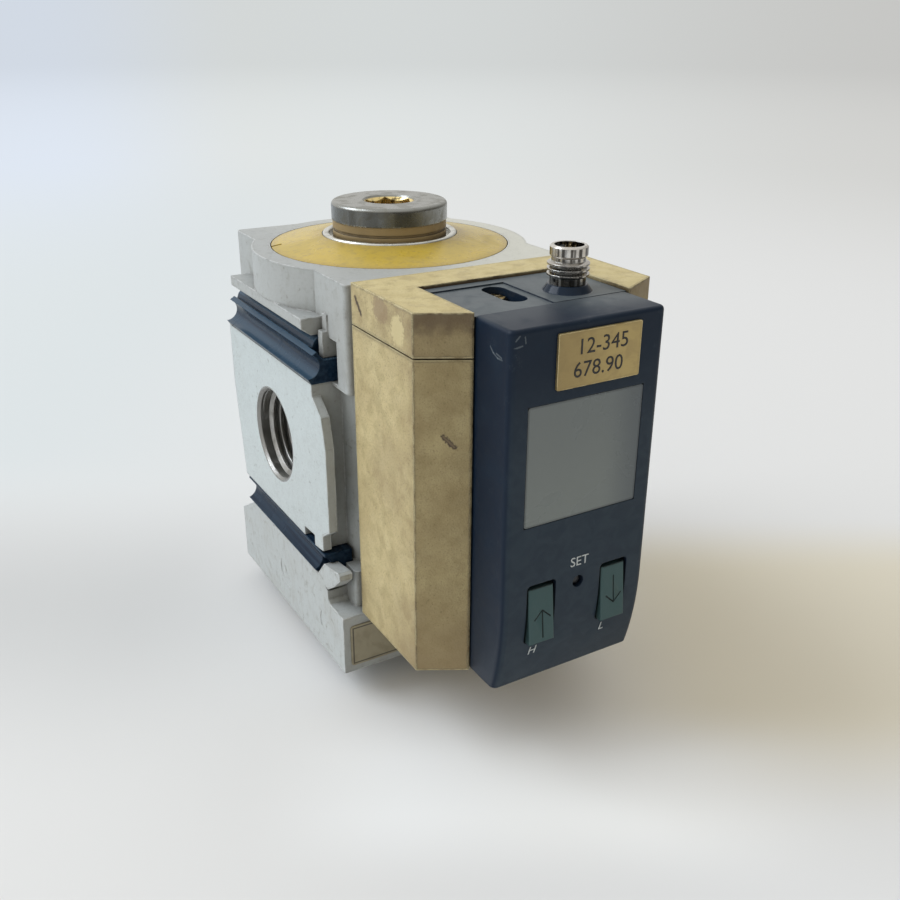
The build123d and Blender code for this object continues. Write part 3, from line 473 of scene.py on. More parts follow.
def stroke_effect() -> bpy.types.NodeTree:
    """Makes the stroke group.

    Returns:
        The group: a thin line from a start along a way.
    """
    inputs = {"Place": ORIGIN, "Start": ORIGIN, "Way": (1.0, 0.0, 0.0), "Width": 0.2}
    g, source, sink = new_group(Effect.STROKE, inputs)
    way, width = source["Way"], source["Width"]
    away = g.vector("SUBTRACT", source["Place"], source["Start"])
    share = g.math("DIVIDE", g.dot(away, way), g.dot(way, way), clamp=True)
    nearest = g.node("VectorMath", {0: way, "Scale": share}, operation="SCALE").outputs[0]
    reach = g.total(g.length(g.vector("SUBTRACT", away, nearest)), (g.wobble(source["Place"], 2.2, 3.0, width), 1.6))
    g.join(sink["Mask"], g.fall(reach, g.times(width, 0.4), width))
    return g.tree


def glint_effect() -> bpy.types.NodeTree:
    """Makes the glint group.

    Returns:
        The group: bands that follow the way a curved surface faces.
    """
    g, source, sink = new_group(Effect.GLINT, {"Scale": 2.5, "Low": 0.42, "High": 0.56})
    way = g.stretch(g.normal(), (1.0, 1.0, 0.3))
    g.join(sink["Mask"], g.step(g.noise(way, source["Scale"], 2.0), source["Low"], source["High"]))
    return g.tree


EFFECT_MAKERS = {
    Effect.EDGE: edge_effect,
    Effect.GRAIN: grain_effect,
    Effect.CLOUD: cloud_effect,
    Effect.SCRATCH: scratch_effect,
    Effect.SPOT: spot_effect,
    Effect.BAND: band_effect,
    Effect.RECESS: recess_effect,
    Effect.STROKE: stroke_effect,
    Effect.GLINT: glint_effect,
}


def shared_effect(kind: Effect) -> bpy.types.NodeTree:
    """Returns the effect's node group, made on first use."""
    return bpy.data.node_groups.get(kind.value) or EFFECT_MAKERS[kind]()


def blank_tree(holder: bpy.types.Material | bpy.types.World) -> bpy.types.NodeTree:
    """Empties the node tree of a material or world.

    Args:
        holder: The material or world.

    Returns:
        Its tree, with no nodes.
    """
    holder.use_nodes = True
    holder.node_tree.nodes.clear()
    return holder.node_tree


@dataclass
class Surface:
    """What a finish gives the shader: maps that vary and constants that don't."""

    colour: Value
    roughness: Value
    metallic: Value = 0.0
    height: Socket | None = None
    depth_mm: float = 0.02
    normal: Socket | None = None
    constants: dict[str, object] = field(default_factory=dict)


@dataclass(frozen=True)
class Finish:
    """Base of every finish: builds one material from its surface."""

    name: str

    def surface(self, g: Skin) -> Surface:
        """Returns the surface; each finish has its own."""
        raise NotImplementedError

    def material(self) -> bpy.types.Material:
        """Makes the finish's material on first use.

        Returns:
            The material.
        """
        title = "finish_" + self.name
        known = bpy.data.materials.get(title)
        if known:
            return known
        made = bpy.data.materials.new(title)
        g = Skin(blank_tree(made))
        look = self.surface(g)
        inputs = {"Base Color": look.colour, "Roughness": look.roughness, "Metallic": look.metallic}
        shader = g.node("BsdfPrincipled", {**inputs, **look.constants})
        normal = look.normal
        if look.height is not None:
            bump = g.node("Bump", {"Height": look.height, "Strength": 1.0, "Distance": look.depth_mm * MM})
            if normal is not None:
                g.join(bump.inputs["Normal"], normal)
            normal = bump.outputs[0]
        if normal is not None:
            g.join(shader.inputs["Normal"], normal)
        g.node("OutputMaterial", {"Surface": shader.outputs[0]})
        return made


@dataclass(frozen=True)
class CastPaint(Finish):
    """Light grey paint on the die-cast block, with bare metal in and around its ports."""

    paint: Point = (0.462, 0.490, 0.486)
    grime: Point = (0.34, 0.33, 0.29)
    bare: Point = (0.30, 0.295, 0.28)
    milled: Point = (0.620, 0.690, 0.690)
    # Colour of the paler edges: rubbed paint with a painted edge highlight.
    rubbed: Point = (0.76, 0.78, 0.78)
    bore_radius_mm: float = 11.2
    face_x_mm: float = 30.85
    face_rise_mm: Pair = (-19.1, 19.9)

    def surface(self, g: Skin) -> Surface:
        """Makes paint with faint staining, scuffs, machined port faces and bores, painted shade and edge highlights.

        Args:
            g: Graph of the material.

        Returns:
            The surface.
        """
        rise = g.minus(g.z, PORT_AXIS_MM)
        top = g.step(g.up, 0.7, 0.95)
        wear_and_highlight = g.edge(0.8, 4.0, 0.35)
        stain = g.cloud(0.07, 0.48, 0.78)
        dirt = g.cloud(0.45, 0.52, 0.74)
        scratch = g.scratch(0.9, 0.66)
        speck = g.step(g.grit(1.5, 5.0), 0.59, 0.66)
        crackle = g.veins(g.grit(0.7, 4.0, 1.0), 0.002, 0.014)
        smear = g.step(g.grit(0.9, 5.0, squeeze=(1.0, 1.0, 0.22)), 0.52, 0.72)
        lines = g.grit(2.0, 3.0, squeeze=(0.4, 0.35, 6.0))
        face = g.step(g.absolute(g.x), self.face_x_mm, self.face_x_mm + 0.1)
        port = g.times(face, g.band(rise, *self.face_rise_mm))
        bore = g.fall(g.radius(g.y, rise), self.bore_radius_mm, self.bore_radius_mm + 0.2)
        colour = g.layered(
            self.paint,
            (self.grime, stain, 0.35),
            ((0.28, 0.265, 0.225), dirt, 0.34),
            ((0.30, 0.29, 0.25), smear, 0.28),
            ((0.34, 0.345, 0.33), g.step(rise, 16.0, 24.0, 0.0, 0.52)),
            ((0.35, 0.37, 0.375), top, g.step(g.x, -27.0, -12.0, 0.55, 0.0)),
            ((0.56, 0.555, 0.49), top, g.step(g.x, -20.0, 20.0)),
            # Painted shade: faces towards the front darker.
            ((0.27, 0.27, 0.25), g.step(g.ahead, -0.95, -0.45, 0.6, 0.0)),
            (self.milled, port, 0.78),
            ((0.47, 0.50, 0.51), port, g.step(lines, 0.35, 0.65, 0.0, 0.4)),
            ((0.16, 0.15, 0.12), speck, g.between(dirt, 0.14, 0.6)),
            ((0.20, 0.19, 0.16), crackle, g.between(stain, 0.15, 0.5)),
            ((0.25, 0.25, 0.235), scratch, 0.55),
            ((0.12, 0.115, 0.095), wear_and_highlight["Line"], g.between(smear, 0.4, 0.9)),
            # Paler edges: rubbed paint with a painted edge highlight.
            (self.rubbed, wear_and_highlight["Mask"], 0.7),
            # Painted shade in corners and gaps.
            ((0.18, 0.175, 0.155), g.recess(5.0, 0.30, 0.85, 0.4), 0.5),
            ((0.045, 0.04, 0.032), g.recess(1.2, 0.25, 0.62, 0.3), 0.8),
            (self.bare, bore),
        )
        rough = g.total(g.between(dirt, 0.44, 0.6), (port, -0.14), (bore, -0.1))
        metal = g.math("MAXIMUM", bore, g.times(port, 0.25))
        height = g.total(g.times(g.fine(2.6), 0.5), (scratch, -0.5), (speck, -0.4), (port, lines, 0.4))
        return Surface(colour, rough, metal, height, 0.03, g.soft(0.3))


@dataclass(frozen=True)
class MouldedPlastic(Finish):
    """Moulded plastic or rubber with grain, clouding, scratches, paler edges with a painted highlight, and painted
    shade in its corners.
    """

    base: Point = (0.02, 0.03, 0.045)
    cloud: Point = (0.04, 0.05, 0.06)
    wear_and_highlight: Point = (0.16, 0.17, 0.18)
    # Colour of the painted shade in corners and gaps.
    gap_shade: Point = (0.003, 0.003, 0.004)
    roughness: float = 0.42
    grain_per_mm: float = 3.0
    edge_wear_and_highlight: float = 0.35
    scratches: float = 0.5
    depth_mm: float = 0.015
    specular: float = 0.5
    rounding_mm: float = 0.3
    # Strength of the painted highlight lines along y.
    sheen_streaks: float = 0.0

    def streaked(self, g: Skin) -> tuple[Layer, ...]:
        """Makes highlight lines painted along y, and paler tops, for the strips.

        Args:
            g: Graph of the material.

        Returns:
            Highlight lines painted along y, and paler top faces high up; nothing if their strength is zero.
        """
        if not self.sheen_streaks:
            return ()
        # Painted highlight lines along y.
        highlight_streak = g.step(g.grit(1.0, 2.0, squeeze=(1.3, 0.03, 1.3)), 0.40, 0.62)
        top = g.step(g.up, 0.2, 0.8)
        high = g.step(g.z, 55.0, 70.0, 0.0, 0.7)
        return (self.wear_and_highlight, highlight_streak, self.sheen_streaks), (self.wear_and_highlight, top, high)

    def surface(self, g: Skin) -> Surface:
        """Makes grained plastic with rubbed edges, a painted edge highlight and painted shade in corners and gaps.

        Args:
            g: Graph of the material.

        Returns:
            The surface.
        """
        patch = g.cloud(0.12, 0.42, 0.72)
        colour = g.layered(
            self.base,
            (self.cloud, patch, 0.6),
            *self.streaked(g),
            (self.wear_and_highlight, g.scratch(1.2, self.scratches), 0.5),
            # Paler edges: rubbed, with a painted edge highlight.
            (self.wear_and_highlight, g.edge(self.rounding_mm * 1.5, 3.5, 0.6)["Mask"], self.edge_wear_and_highlight),
            # Painted shade in corners and gaps.
            (self.gap_shade, g.recess(1.5, 0.25, 0.7, 0.2), 0.75),
        )
        rough = g.between(patch, self.roughness - 0.04, self.roughness + 0.08)
        grain, soft = g.fine(self.grain_per_mm), g.soft(self.rounding_mm)
        return Surface(colour, rough, 0.0, grain, self.depth_mm, soft, {SPECULAR: self.specular})


@dataclass(frozen=True)
class SensorPlastic(MouldedPlastic):
    """Navy-black sensor housing: dusty top, scuffed corner, glossy connector collar."""

    dust: Point = (0.140, 0.160, 0.166)
    front_tone: Point = (0.027, 0.043, 0.060)
    flank: Point = (0.036, 0.044, 0.056)
    scuff: Point = (0.20, 0.235, 0.255)
    collar: Point = (0.007, 0.017, 0.034)
    connector_mm: Pair = (7.7, -57.4)
    collar_radius_mm: float = 4.8
    joint_y_mm: float = -64.0
    top_mm: float = 93.0
    scuffs_mm: tuple[tuple[Point, Point], ...] = (
        ((-16.65, -68.97, 89.3), (0.0, -0.89, -0.83)), ((-16.65, -69.86, 88.47), (0.0, -1.40, -0.60)),
        ((-16.65, -71.26, 87.87), (0.0, -1.33, 0.0)), ((-16.65, -70.9, 88.56), (0.0, -1.53, -0.35)),
        ((-16.18, -75.1, 90.41), (1.87, 0.0, 0.25)), ((-13.82, -75.1, 92.1), (0.16, 0.0, -1.07)),
        ((-15.66, -75.1, 91.67), (0.77, 0.0, 0.73)),
    )

    def surface(self, g: Skin) -> Surface:
        """Makes the plastic with its dusty top and glossy collar.

        Args:
            g: Graph of the material.

        Returns:
            The surface.
        """
        look = super().surface(g)
        reach = g.radius(g.minus(g.x, self.connector_mm[0]), g.minus(g.y, self.connector_mm[1]))
        on_top = g.step(g.z, self.top_mm - 0.4, self.top_mm)
        collar = g.times(g.fall(reach, self.collar_radius_mm - 0.08, self.collar_radius_mm), on_top)
        powder = g.between(g.cloud(0.3, 0.25, 0.6), 0.78, 1.0)
        rear = g.step(g.y, self.joint_y_mm - 0.3, self.joint_y_mm)
        front = g.times(g.step(g.y, -74.0, -65.0, 0.08, 0.9), g.step(g.x, -4.0, 8.0, 0.3, 0.9))
        level = g.times(g.step(g.up, 0.6, 0.95), g.step(g.x, 6.0, 14.0, 0.85, 1.0))
        dusty = g.times(level, powder, g.minus(1.0, collar), g.math("MAXIMUM", rear, front))
        front_breakup = g.step(g.grit(0.5, 5.0, 1.0, squeeze=(0.5, 1.6, 0.6)), 0.35, 0.65, 0.7, 1.0)
        # Front faces paler, broken by noise and fading towards the top.
        front_tone_mask = g.times(g.step(g.ahead, -0.96, -0.6, 0.9, 0.0), front_breakup, g.step(g.z, 66.0, 90.0, 1.0, 0.15))
        look.colour = g.layered(
            look.colour,
            (self.front_tone, front_tone_mask),
            (self.flank, g.step(g.absolute(g.across), 0.8, 0.98), g.step(g.z, 14.0, 58.0, 0.6, 0.0)),
            (self.dust, dusty, 0.8),
            *((self.scuff, g.stroke(start, way, 0.2), 0.35) for start, way in self.scuffs_mm),
            (self.collar, collar),
        )
        look.roughness = g.total(look.roughness, (collar, -0.30))
        return look


@dataclass(frozen=True)
class CoverPlastic(Finish):
    """Aged tan cover: grained skin, dark mottling, stained patches, painted shade on its front faces, and rubbed
    edges with a painted highlight.
    """

    base: Point = (0.550, 0.455, 0.232)
    dark: Point = (0.250, 0.195, 0.095)
    pale: Point = (0.74, 0.66, 0.38)
    gash: Point = (0.045, 0.026, 0.016)
    seam_mm: Pair = (84.6, 86.4)
    scar_mm: tuple[Point, Point] = ((-26.3, -36.6, 91.5), (0.0, -2.3, -2.7))
    chip_mm: tuple[Point, Point] = ((-21.66, -61.78, 71.2), (1.79, -0.99, -2.1))
    gash_width_mm: float = 0.62

    def mottling(self, g: Skin, coarse: Socket) -> tuple[Layer, ...]:
        """Makes the layers that lie all over the skin.

        Args:
            g: Graph of the material.
            coarse: Coarse noise of the grain.

        Returns:
            Mottles, patches, specks, pores and crackle.
        """
        return (
            (self.dark, g.step(coarse, 0.42, 0.68, 0.0, 0.34)),
            ((0.35, 0.265, 0.125), g.cloud(0.06, 0.40, 0.62), 0.42),
            ((0.62, 0.54, 0.30), g.cloud(0.2, 0.46, 0.66), 0.22),
            (self.dark, g.step(g.grit(2.4, 4.0), 0.575, 0.66), 0.42),
            ((0.11, 0.075, 0.04), g.step(g.grit(3.4, 2.0), 0.64, 0.70), 0.62),
            (self.dark, g.veins(g.grit(1.3, 3.0, 1.2), 0.004, 0.02), 0.48),
        )

    def stains_and_shade(self, g: Skin) -> tuple[Layer, ...]:
        """Makes the stained patches of the flanks and the lid, and the painted shade of the front faces.

        Args:
            g: Graph of the material.

        Returns:
            The layers, lowest first.
        """
        bevel = g.fall(g.ahead, -0.98, -0.6)
        flank = g.step(g.absolute(g.across), 0.8, 0.98)
        lid = g.step(g.up, 0.7, 0.95)
        ragged = g.plus(g.z, g.wobble(g.place, 0.5, 5.0, 5.0))
        stained = g.times(flank, g.step(g.grit(0.16, 4.0, 0.2), 0.32, 0.66))
        bloom = g.spot((-26.3, -49.0, 60.0), (4.0, 8.0, 8.0), 1.4)
        rust = g.spot((-26.3, -47.0, 91.6), (4.0, 3.2, 2.6), 1.2)
        rubbed = g.spot((-26.3, -53.6, 89.4), (4.0, 2.6, 3.0), 1.2)
        return (
            # Painted shade: front faces darker and mottled, deeper on the cap.
            ((0.205, 0.150, 0.060), bevel, g.step(g.grit(0.25, 5.0), 0.38, 0.64, 0.54, 0.76)),
            ((0.16, 0.11, 0.05), bevel, g.step(g.z, 85.6, 85.9), 0.45),
            # Front faces darker and ragged towards the top: grime with painted shade.
            ((0.085, 0.052, 0.028), bevel, g.step(ragged, 89.0, 92.4, 0.0, 0.85), g.step(g.x, -4.0, 10.0, 1.0, 0.3)),
            ((0.30, 0.225, 0.12), bloom, 0.3),
            # Darker towards the bottom, most at the front.
            ((0.24, 0.17, 0.08), g.step(g.z, 20.5, 42.0, 0.65, 0.0), g.step(g.y, -60.0, -42.0, 1.0, 0.3)),
            ((0.19, 0.125, 0.065), stained, g.step(g.z, 84.0, 88.0, 0.2, 0.7), g.step(g.y, -58.0, -46.0, 1.0, 0.35)),
            ((0.27, 0.19, 0.105), rust, 0.75),
            ((0.58, 0.49, 0.26), rubbed, 0.85),
            # Flanks darker towards their front edge.
            ((0.17, 0.12, 0.055), flank, g.step(g.y, -61.5, -56.0, 0.4, 0.0)),
            ((0.60, 0.50, 0.235), lid, 0.45),
            ((0.25, 0.185, 0.09), lid, g.step(g.grit(0.3, 5.0), 0.5, 0.66, 0.0, 0.3)),
        )

    def surface(self, g: Skin) -> Surface:
        """Makes the mottled tan skin.

        Args:
            g: Graph of the material.

        Returns:
            The surface.
        """
        wear_and_highlight = g.edge(0.8, 4.5, 0.45)
        grain = g.effect(Effect.GRAIN, place=g.place, scale=2.4, mottle=0.32)
        coarse = grain["Coarse"]
        chip = g.stroke(*self.chip_mm, self.gash_width_mm)
        colour = g.layered(
            self.base,
            *self.mottling(g, coarse),
            *self.stains_and_shade(g),
            ((0.07, 0.05, 0.028), wear_and_highlight["Line"], g.step(coarse, 0.3, 0.6, 0.7, 1.0)),
            # Paler edges: rubbed, with a painted edge highlight.
            (self.pale, wear_and_highlight["Mask"], 0.75),
            # Painted shade in corners and gaps.
            ((0.03, 0.024, 0.014), g.recess(1.6, 0.3, 0.72, 0.3), 0.85),
            (self.dark, g.band(g.z, *self.seam_mm, 0.7), 0.4),
            (self.gash, g.stroke(*self.scar_mm, self.gash_width_mm), 0.9),
            (self.gash, chip, 0.92),
            ((0.20, 0.145, 0.075), g.stroke(*self.chip_mm, 0.24), 0.7),
        )
        height = g.total(grain["Fine"], (chip, -0.6))
        return Surface(colour, g.step(coarse, 0.35, 0.7, 0.52, 0.68), 0.0, height, 0.05, g.soft(0.3))


@dataclass(frozen=True)
class RingPlastic(Finish):
    """Amber cover disc round each branch port."""

    base: Point = (0.530, 0.378, 0.050)
    deep: Point = (0.35, 0.235, 0.050)
    rim_mm: Pair = (25.0, 26.6)
    hub_mm: Pair = (15.4, 19.0)

    def surface(self, g: Skin) -> Surface:
        """Makes glossy amber with a darker rim and hub.

        Args:
            g: Graph of the material.

        Returns:
            The surface.
        """
        reach = g.radius(g.x, g.y)
        patch = g.cloud(0.1, 0.4, 0.7)
        colour = g.layered(
            self.base,
            (self.deep, g.math("MAXIMUM", g.step(reach, *self.rim_mm), g.fall(reach, *self.hub_mm)), 0.5),
            ((0.43, 0.33, 0.095), patch, 0.45),
            ((0.66, 0.52, 0.22), g.scratch(1.0, 0.5), 0.3),
            ((0.29, 0.21, 0.07), g.step(g.grit(0.7, 5.0), 0.48, 0.7), 0.38),
            ((0.22, 0.155, 0.06), g.step(g.grit(2.4, 3.0), 0.62, 0.69), 0.4),
            # Painted shade in corners and gaps.
            ((0.05, 0.038, 0.018), g.recess(0.8, 0.3, 0.7, 0.3), 0.8),
        )
        rough = g.between(patch, 0.26, 0.38)
        return Surface(colour, rough, 0.0, g.grit(2.2, 4.0), 0.012, g.soft(0.35), {SPECULAR: 0.38})


@dataclass(frozen=True)
class TurnedMetal(Finish):
    """Turned, plated metal with circular tool marks about an upright axis."""

    base: Point = (0.50, 0.50, 0.46)
    # Dark colour of the tarnish and of the painted reflections.
    shade: Point = (0.22, 0.21, 0.17)
    centre_mm: Pair = (0.0, 0.0)
    roughness: float = 0.26
    lines_per_mm: float = 3.0
    socket_radius_mm: float = 0.0
    socket_top_mm: float = 102.2
    socket_tint: Point = (0.86, 0.68, 0.30)
    tarnish: float = 0.5
    rounding_mm: float = 0.25
    side_shade: float = 0.0
    # Strength of the painted dark reflection bands and of the darker low part.
    bands: float = 0.0
    glint_scale: float = 2.5
    # Top of the darker low part, a painted reflection.
    dark_reflection_top_mm: float = 100.0

    def shaded(self, share: float) -> Point:
        """Returns a share of the shade colour."""
        return tuple(part * share for part in self.shade)

    def reflections(self, g: Skin) -> tuple[Layer, ...]:
        """Makes painted reflections: dark bands on turned sides, and a darker low part.

        Args:
            g: Graph of the material.

        Returns:
            The layers, lowest first.
        """
        upright = g.absolute(g.up)
        toward, beside = g.dot(g.facing, LIT_SIDE), g.dot(g.facing, SHADED_SIDE)
        lit = g.times(g.step(toward, -0.3, 0.75, 0.35, 1.0), g.step(beside, 0.25, 0.95, 1.0, 0.2))
        glint = g.effect(Effect.GLINT, scale=self.glint_scale)["Mask"]
        low = g.step(g.z, self.dark_reflection_top_mm - 1.2, self.dark_reflection_top_mm, self.bands, 0.0)
        return (
            (self.shaded(0.30), g.step(upright, 0.1, 0.5, self.side_shade, 0.0), lit, g.between(glint, 1.0, 0.72)),
            (self.shaded(0.12), glint, g.step(upright, 0.2, 0.6, self.bands, 0.0)),
            (self.shaded(0.2), low, g.step(toward, 0.88, 0.98, 0.3, 0.95)),
        )

    def socket(self, g: Skin, reach: Socket) -> tuple[Layer, ...]:
        """Makes the tint inside the plug's socket.

        Args:
            g: Graph of the material.
            reach: Distance from the upright axis.

        Returns:
            One layer, or nothing without a socket.
        """
        if not self.socket_radius_mm:
            return ()
        inside = g.fall(reach, self.socket_radius_mm - 0.1, self.socket_radius_mm)
        low = g.fall(g.z, self.socket_top_mm - 0.5, self.socket_top_mm - 0.3)
        grubby = g.step(g.grit(0.9, 4.0), 0.46, 0.60)
        return ((g.layered(self.socket_tint, ((0.10, 0.07, 0.03), grubby, 0.85)), inside, low, 0.95),)

    def surface(self, g: Skin) -> Surface:
        """Makes turned metal with painted reflections and edge highlights, tinted inside the socket if there is one.

        Args:
            g: Graph of the material.

        Returns:
            The surface.
        """
        reach = g.radius(g.minus(g.x, self.centre_mm[0]), g.minus(g.y, self.centre_mm[1]))
        turned = g.noise(g.node("CombineXYZ", {0: reach, 1: g.z}).outputs[0], self.lines_per_mm, 3.0)
        patch = g.cloud(0.35, 0.42, 0.68)
        pits = g.step(g.grit(1.9, 4.0), 0.6, 0.7)
        colour = g.layered(
            self.base,
            (self.shade, patch, self.tarnish),
            (self.shade, pits, self.tarnish),
            *self.reflections(g),
            # Near-white edges: painted edge highlight on rubbed plating.
            ((0.86, 0.87, 0.86), g.edge(0.5, 3.0, 0.3)["Mask"], 0.75),
            *self.socket(g, reach),
            # Painted shade in corners and gaps.
            ((0.03, 0.028, 0.024), g.recess(1.0, 0.25, 0.6, 0.2), 0.7),
        )
        rough = g.total(g.between(patch, self.roughness, self.roughness + 0.16), (pits, 0.15))
        return Surface(colour, rough, 1.0, turned, 0.008, g.soft(self.rounding_mm))


@dataclass(frozen=True)
class PlateMetal(Finish):
    """Brass-coloured marking plate with a faint dark border and a bright edge."""

    base: Point = (0.47, 0.36, 0.155)
    border: Point = (0.12, 0.085, 0.035)
    middle_mm: Pair = (1.75, 86.65)
    half_mm: Pair = (9.0, 5.05)

    def surface(self, g: Skin) -> Surface:
        """Makes brushed brass with a border, small scuffs and a painted edge highlight.

        Args:
            g: Graph of the material.

        Returns:
            The surface.
        """
        inset = g.plus(g.inset(self.middle_mm, self.half_mm), g.wobble(g.place, 0.9, 4.0, 0.7))
        lines = g.grit(2.0, 2.0, squeeze=(0.4, 1.0, 7.0))
        colour = g.layered(
            self.base,
            (self.border, g.fall(inset, 0.1, 0.7), 0.15),
            ((0.33, 0.245, 0.115), g.cloud(0.4, 0.45, 0.7), 0.45),
            ((0.30, 0.22, 0.10), g.step(g.x, -7.0, 8.0, 0.6, 0.0)),
            # Bright edges: rubbed brass with a painted edge highlight.
            ((0.86, 0.74, 0.42), g.edge(0.3, 6.0, 0.4)["Mask"], 0.95),
        )
        return Surface(colour, g.step(lines, 0.3, 0.7, 0.4, 0.54), 0.6, lines, 0.006, g.soft(0.15))


@dataclass(frozen=True)
class LensPlastic(Finish):
    """Dark display window: grey-green glass look with a darker printed border."""

    base: Point = (0.178, 0.200, 0.192)
    border: Point = (0.03, 0.036, 0.044)
    middle_mm: Pair = (0.0, 67.7)
    half_mm: Pair = (12.6, 11.6)

    def surface(self, g: Skin) -> Surface:
        """Makes the window's face with faint smears and a painted reflection.

        Args:
            g: Graph of the material.

        Returns:
            The surface.
        """
        smear = g.cloud(0.09, 0.35, 0.75)
        colour = g.layered(
            self.base,
            ((0.21, 0.23, 0.215), smear, 0.3),
            # Painted reflection: darker towards the top and to the right.
            ((0.135, 0.152, 0.156), g.step(g.z, 56.0, 79.0, 0.0, 0.5)),
            ((0.075, 0.090, 0.105), g.step(g.x, 4.0, 13.0, 0.0, 0.65)),
            (self.border, g.fall(g.inset(self.middle_mm, self.half_mm), 0.2, 0.45), 0.4),
        )
        return Surface(colour, g.between(smear, 0.24, 0.36), constants={SPECULAR: 0.4})


@dataclass(frozen=True)
class LabelPaper(Finish):
    """Bare rating label: a tan sheet with a thin dark frame."""

    base: Point = (0.31, 0.275, 0.185)
    rubbed: Point = (0.21, 0.18, 0.115)
    line: Point = (0.055, 0.045, 0.035)
    line_mm: Pair = (0.35, 0.75)
    middle_mm: Pair = (-13.4, 12.7)
    half_mm: Pair = (16.0, 5.05)

    def surface(self, g: Skin) -> Surface:
        """Makes the label with its frame and rubbed patches.

        Args:
            g: Graph of the material.

        Returns:
            The surface.
        """
        patch = g.cloud(0.3, 0.4, 0.7)
        frame_line = g.band(g.inset(self.middle_mm, self.half_mm), *self.line_mm, 0.08)
        colour = g.layered(self.base, (self.rubbed, patch, 0.5), (self.line, frame_line, 0.9))
        return Surface(colour, g.between(patch, 0.5, 0.65), 0.0, g.grit(5.0, 3.0), 0.006)


@dataclass(frozen=True)
class KeyFace:
    """Sloping face of a key: sunk at its upper end, proud at its lower end."""

    low_rise_mm: float = -20.1
    low_y_mm: float = -76.1
    slope: float = 1.2 / 11.6

    def depth(self, rise_mm: float) -> float:
        """Returns the face's y in millimetres at a rise from the port axis."""
        return self.low_y_mm + (rise_mm - self.low_rise_mm) * self.slope


KEY_FACE = KeyFace()


@dataclass(frozen=True)
class KeyRubber(Finish):
    """Dark green key whose engraved arrow is painted darker."""

    base: Point = (0.031, 0.076, 0.078)
    cloud: Point = (0.042, 0.090, 0.090)
    # Colour of the painted shade in corners and gaps.
    gap_shade: Point = (0.004, 0.006, 0.006)
    groove: Point = (0.012, 0.024, 0.024)
    middle_x_mm: float = 0.0
    reach_x_mm: float = 2.4

    def surface(self, g: Skin) -> Surface:
        """Makes soft rubber, darker where it lies below the key's face.

        Args:
            g: Graph of the material.

        Returns:
            The surface.
        """
        patch = g.cloud(0.4, 0.4, 0.7)
        rise = g.minus(g.z, PORT_AXIS_MM + KEY_FACE.low_rise_mm)
        sunk = g.total(g.minus(g.y, KEY_FACE.low_y_mm), (rise, -KEY_FACE.slope))
        below = g.times(g.step(sunk, 0.03, 0.07), g.fall(sunk, 0.3, 0.34))
        near = g.fall(g.absolute(g.minus(g.x, self.middle_x_mm)), self.reach_x_mm, self.reach_x_mm + 0.05)
        colour = g.layered(
            self.base,
            (self.cloud, patch, 0.5),
            # Painted shade in corners and gaps.
            (self.gap_shade, g.recess(2.0, 0.3, 0.8, 0.2), 0.8),
            (self.groove, below, near),
        )
        return Surface(colour, g.between(patch, 0.5, 0.62), 0.0, g.fine(4.0), 0.01, g.soft(0.25))


def backdrop_tone(g: Graph, ray: Socket) -> Socket:
    """Makes the backdrop's tone: cool on the left, grey on the right.

    Args:
        g: Graph of the floor or of the world.
        ray: Way from the camera, one long.

    Returns:
        The colour along the ray.
    """
    across = g.dot(ray, STUDIO_RIGHT)
    cool = g.mix(g.step(across, -0.37, -0.18), (0.645, 0.700, 0.780), (0.655, 0.682, 0.680))
    return g.mix(g.step(across, -0.10, 0.45), cool, (0.565, 0.565, 0.550))


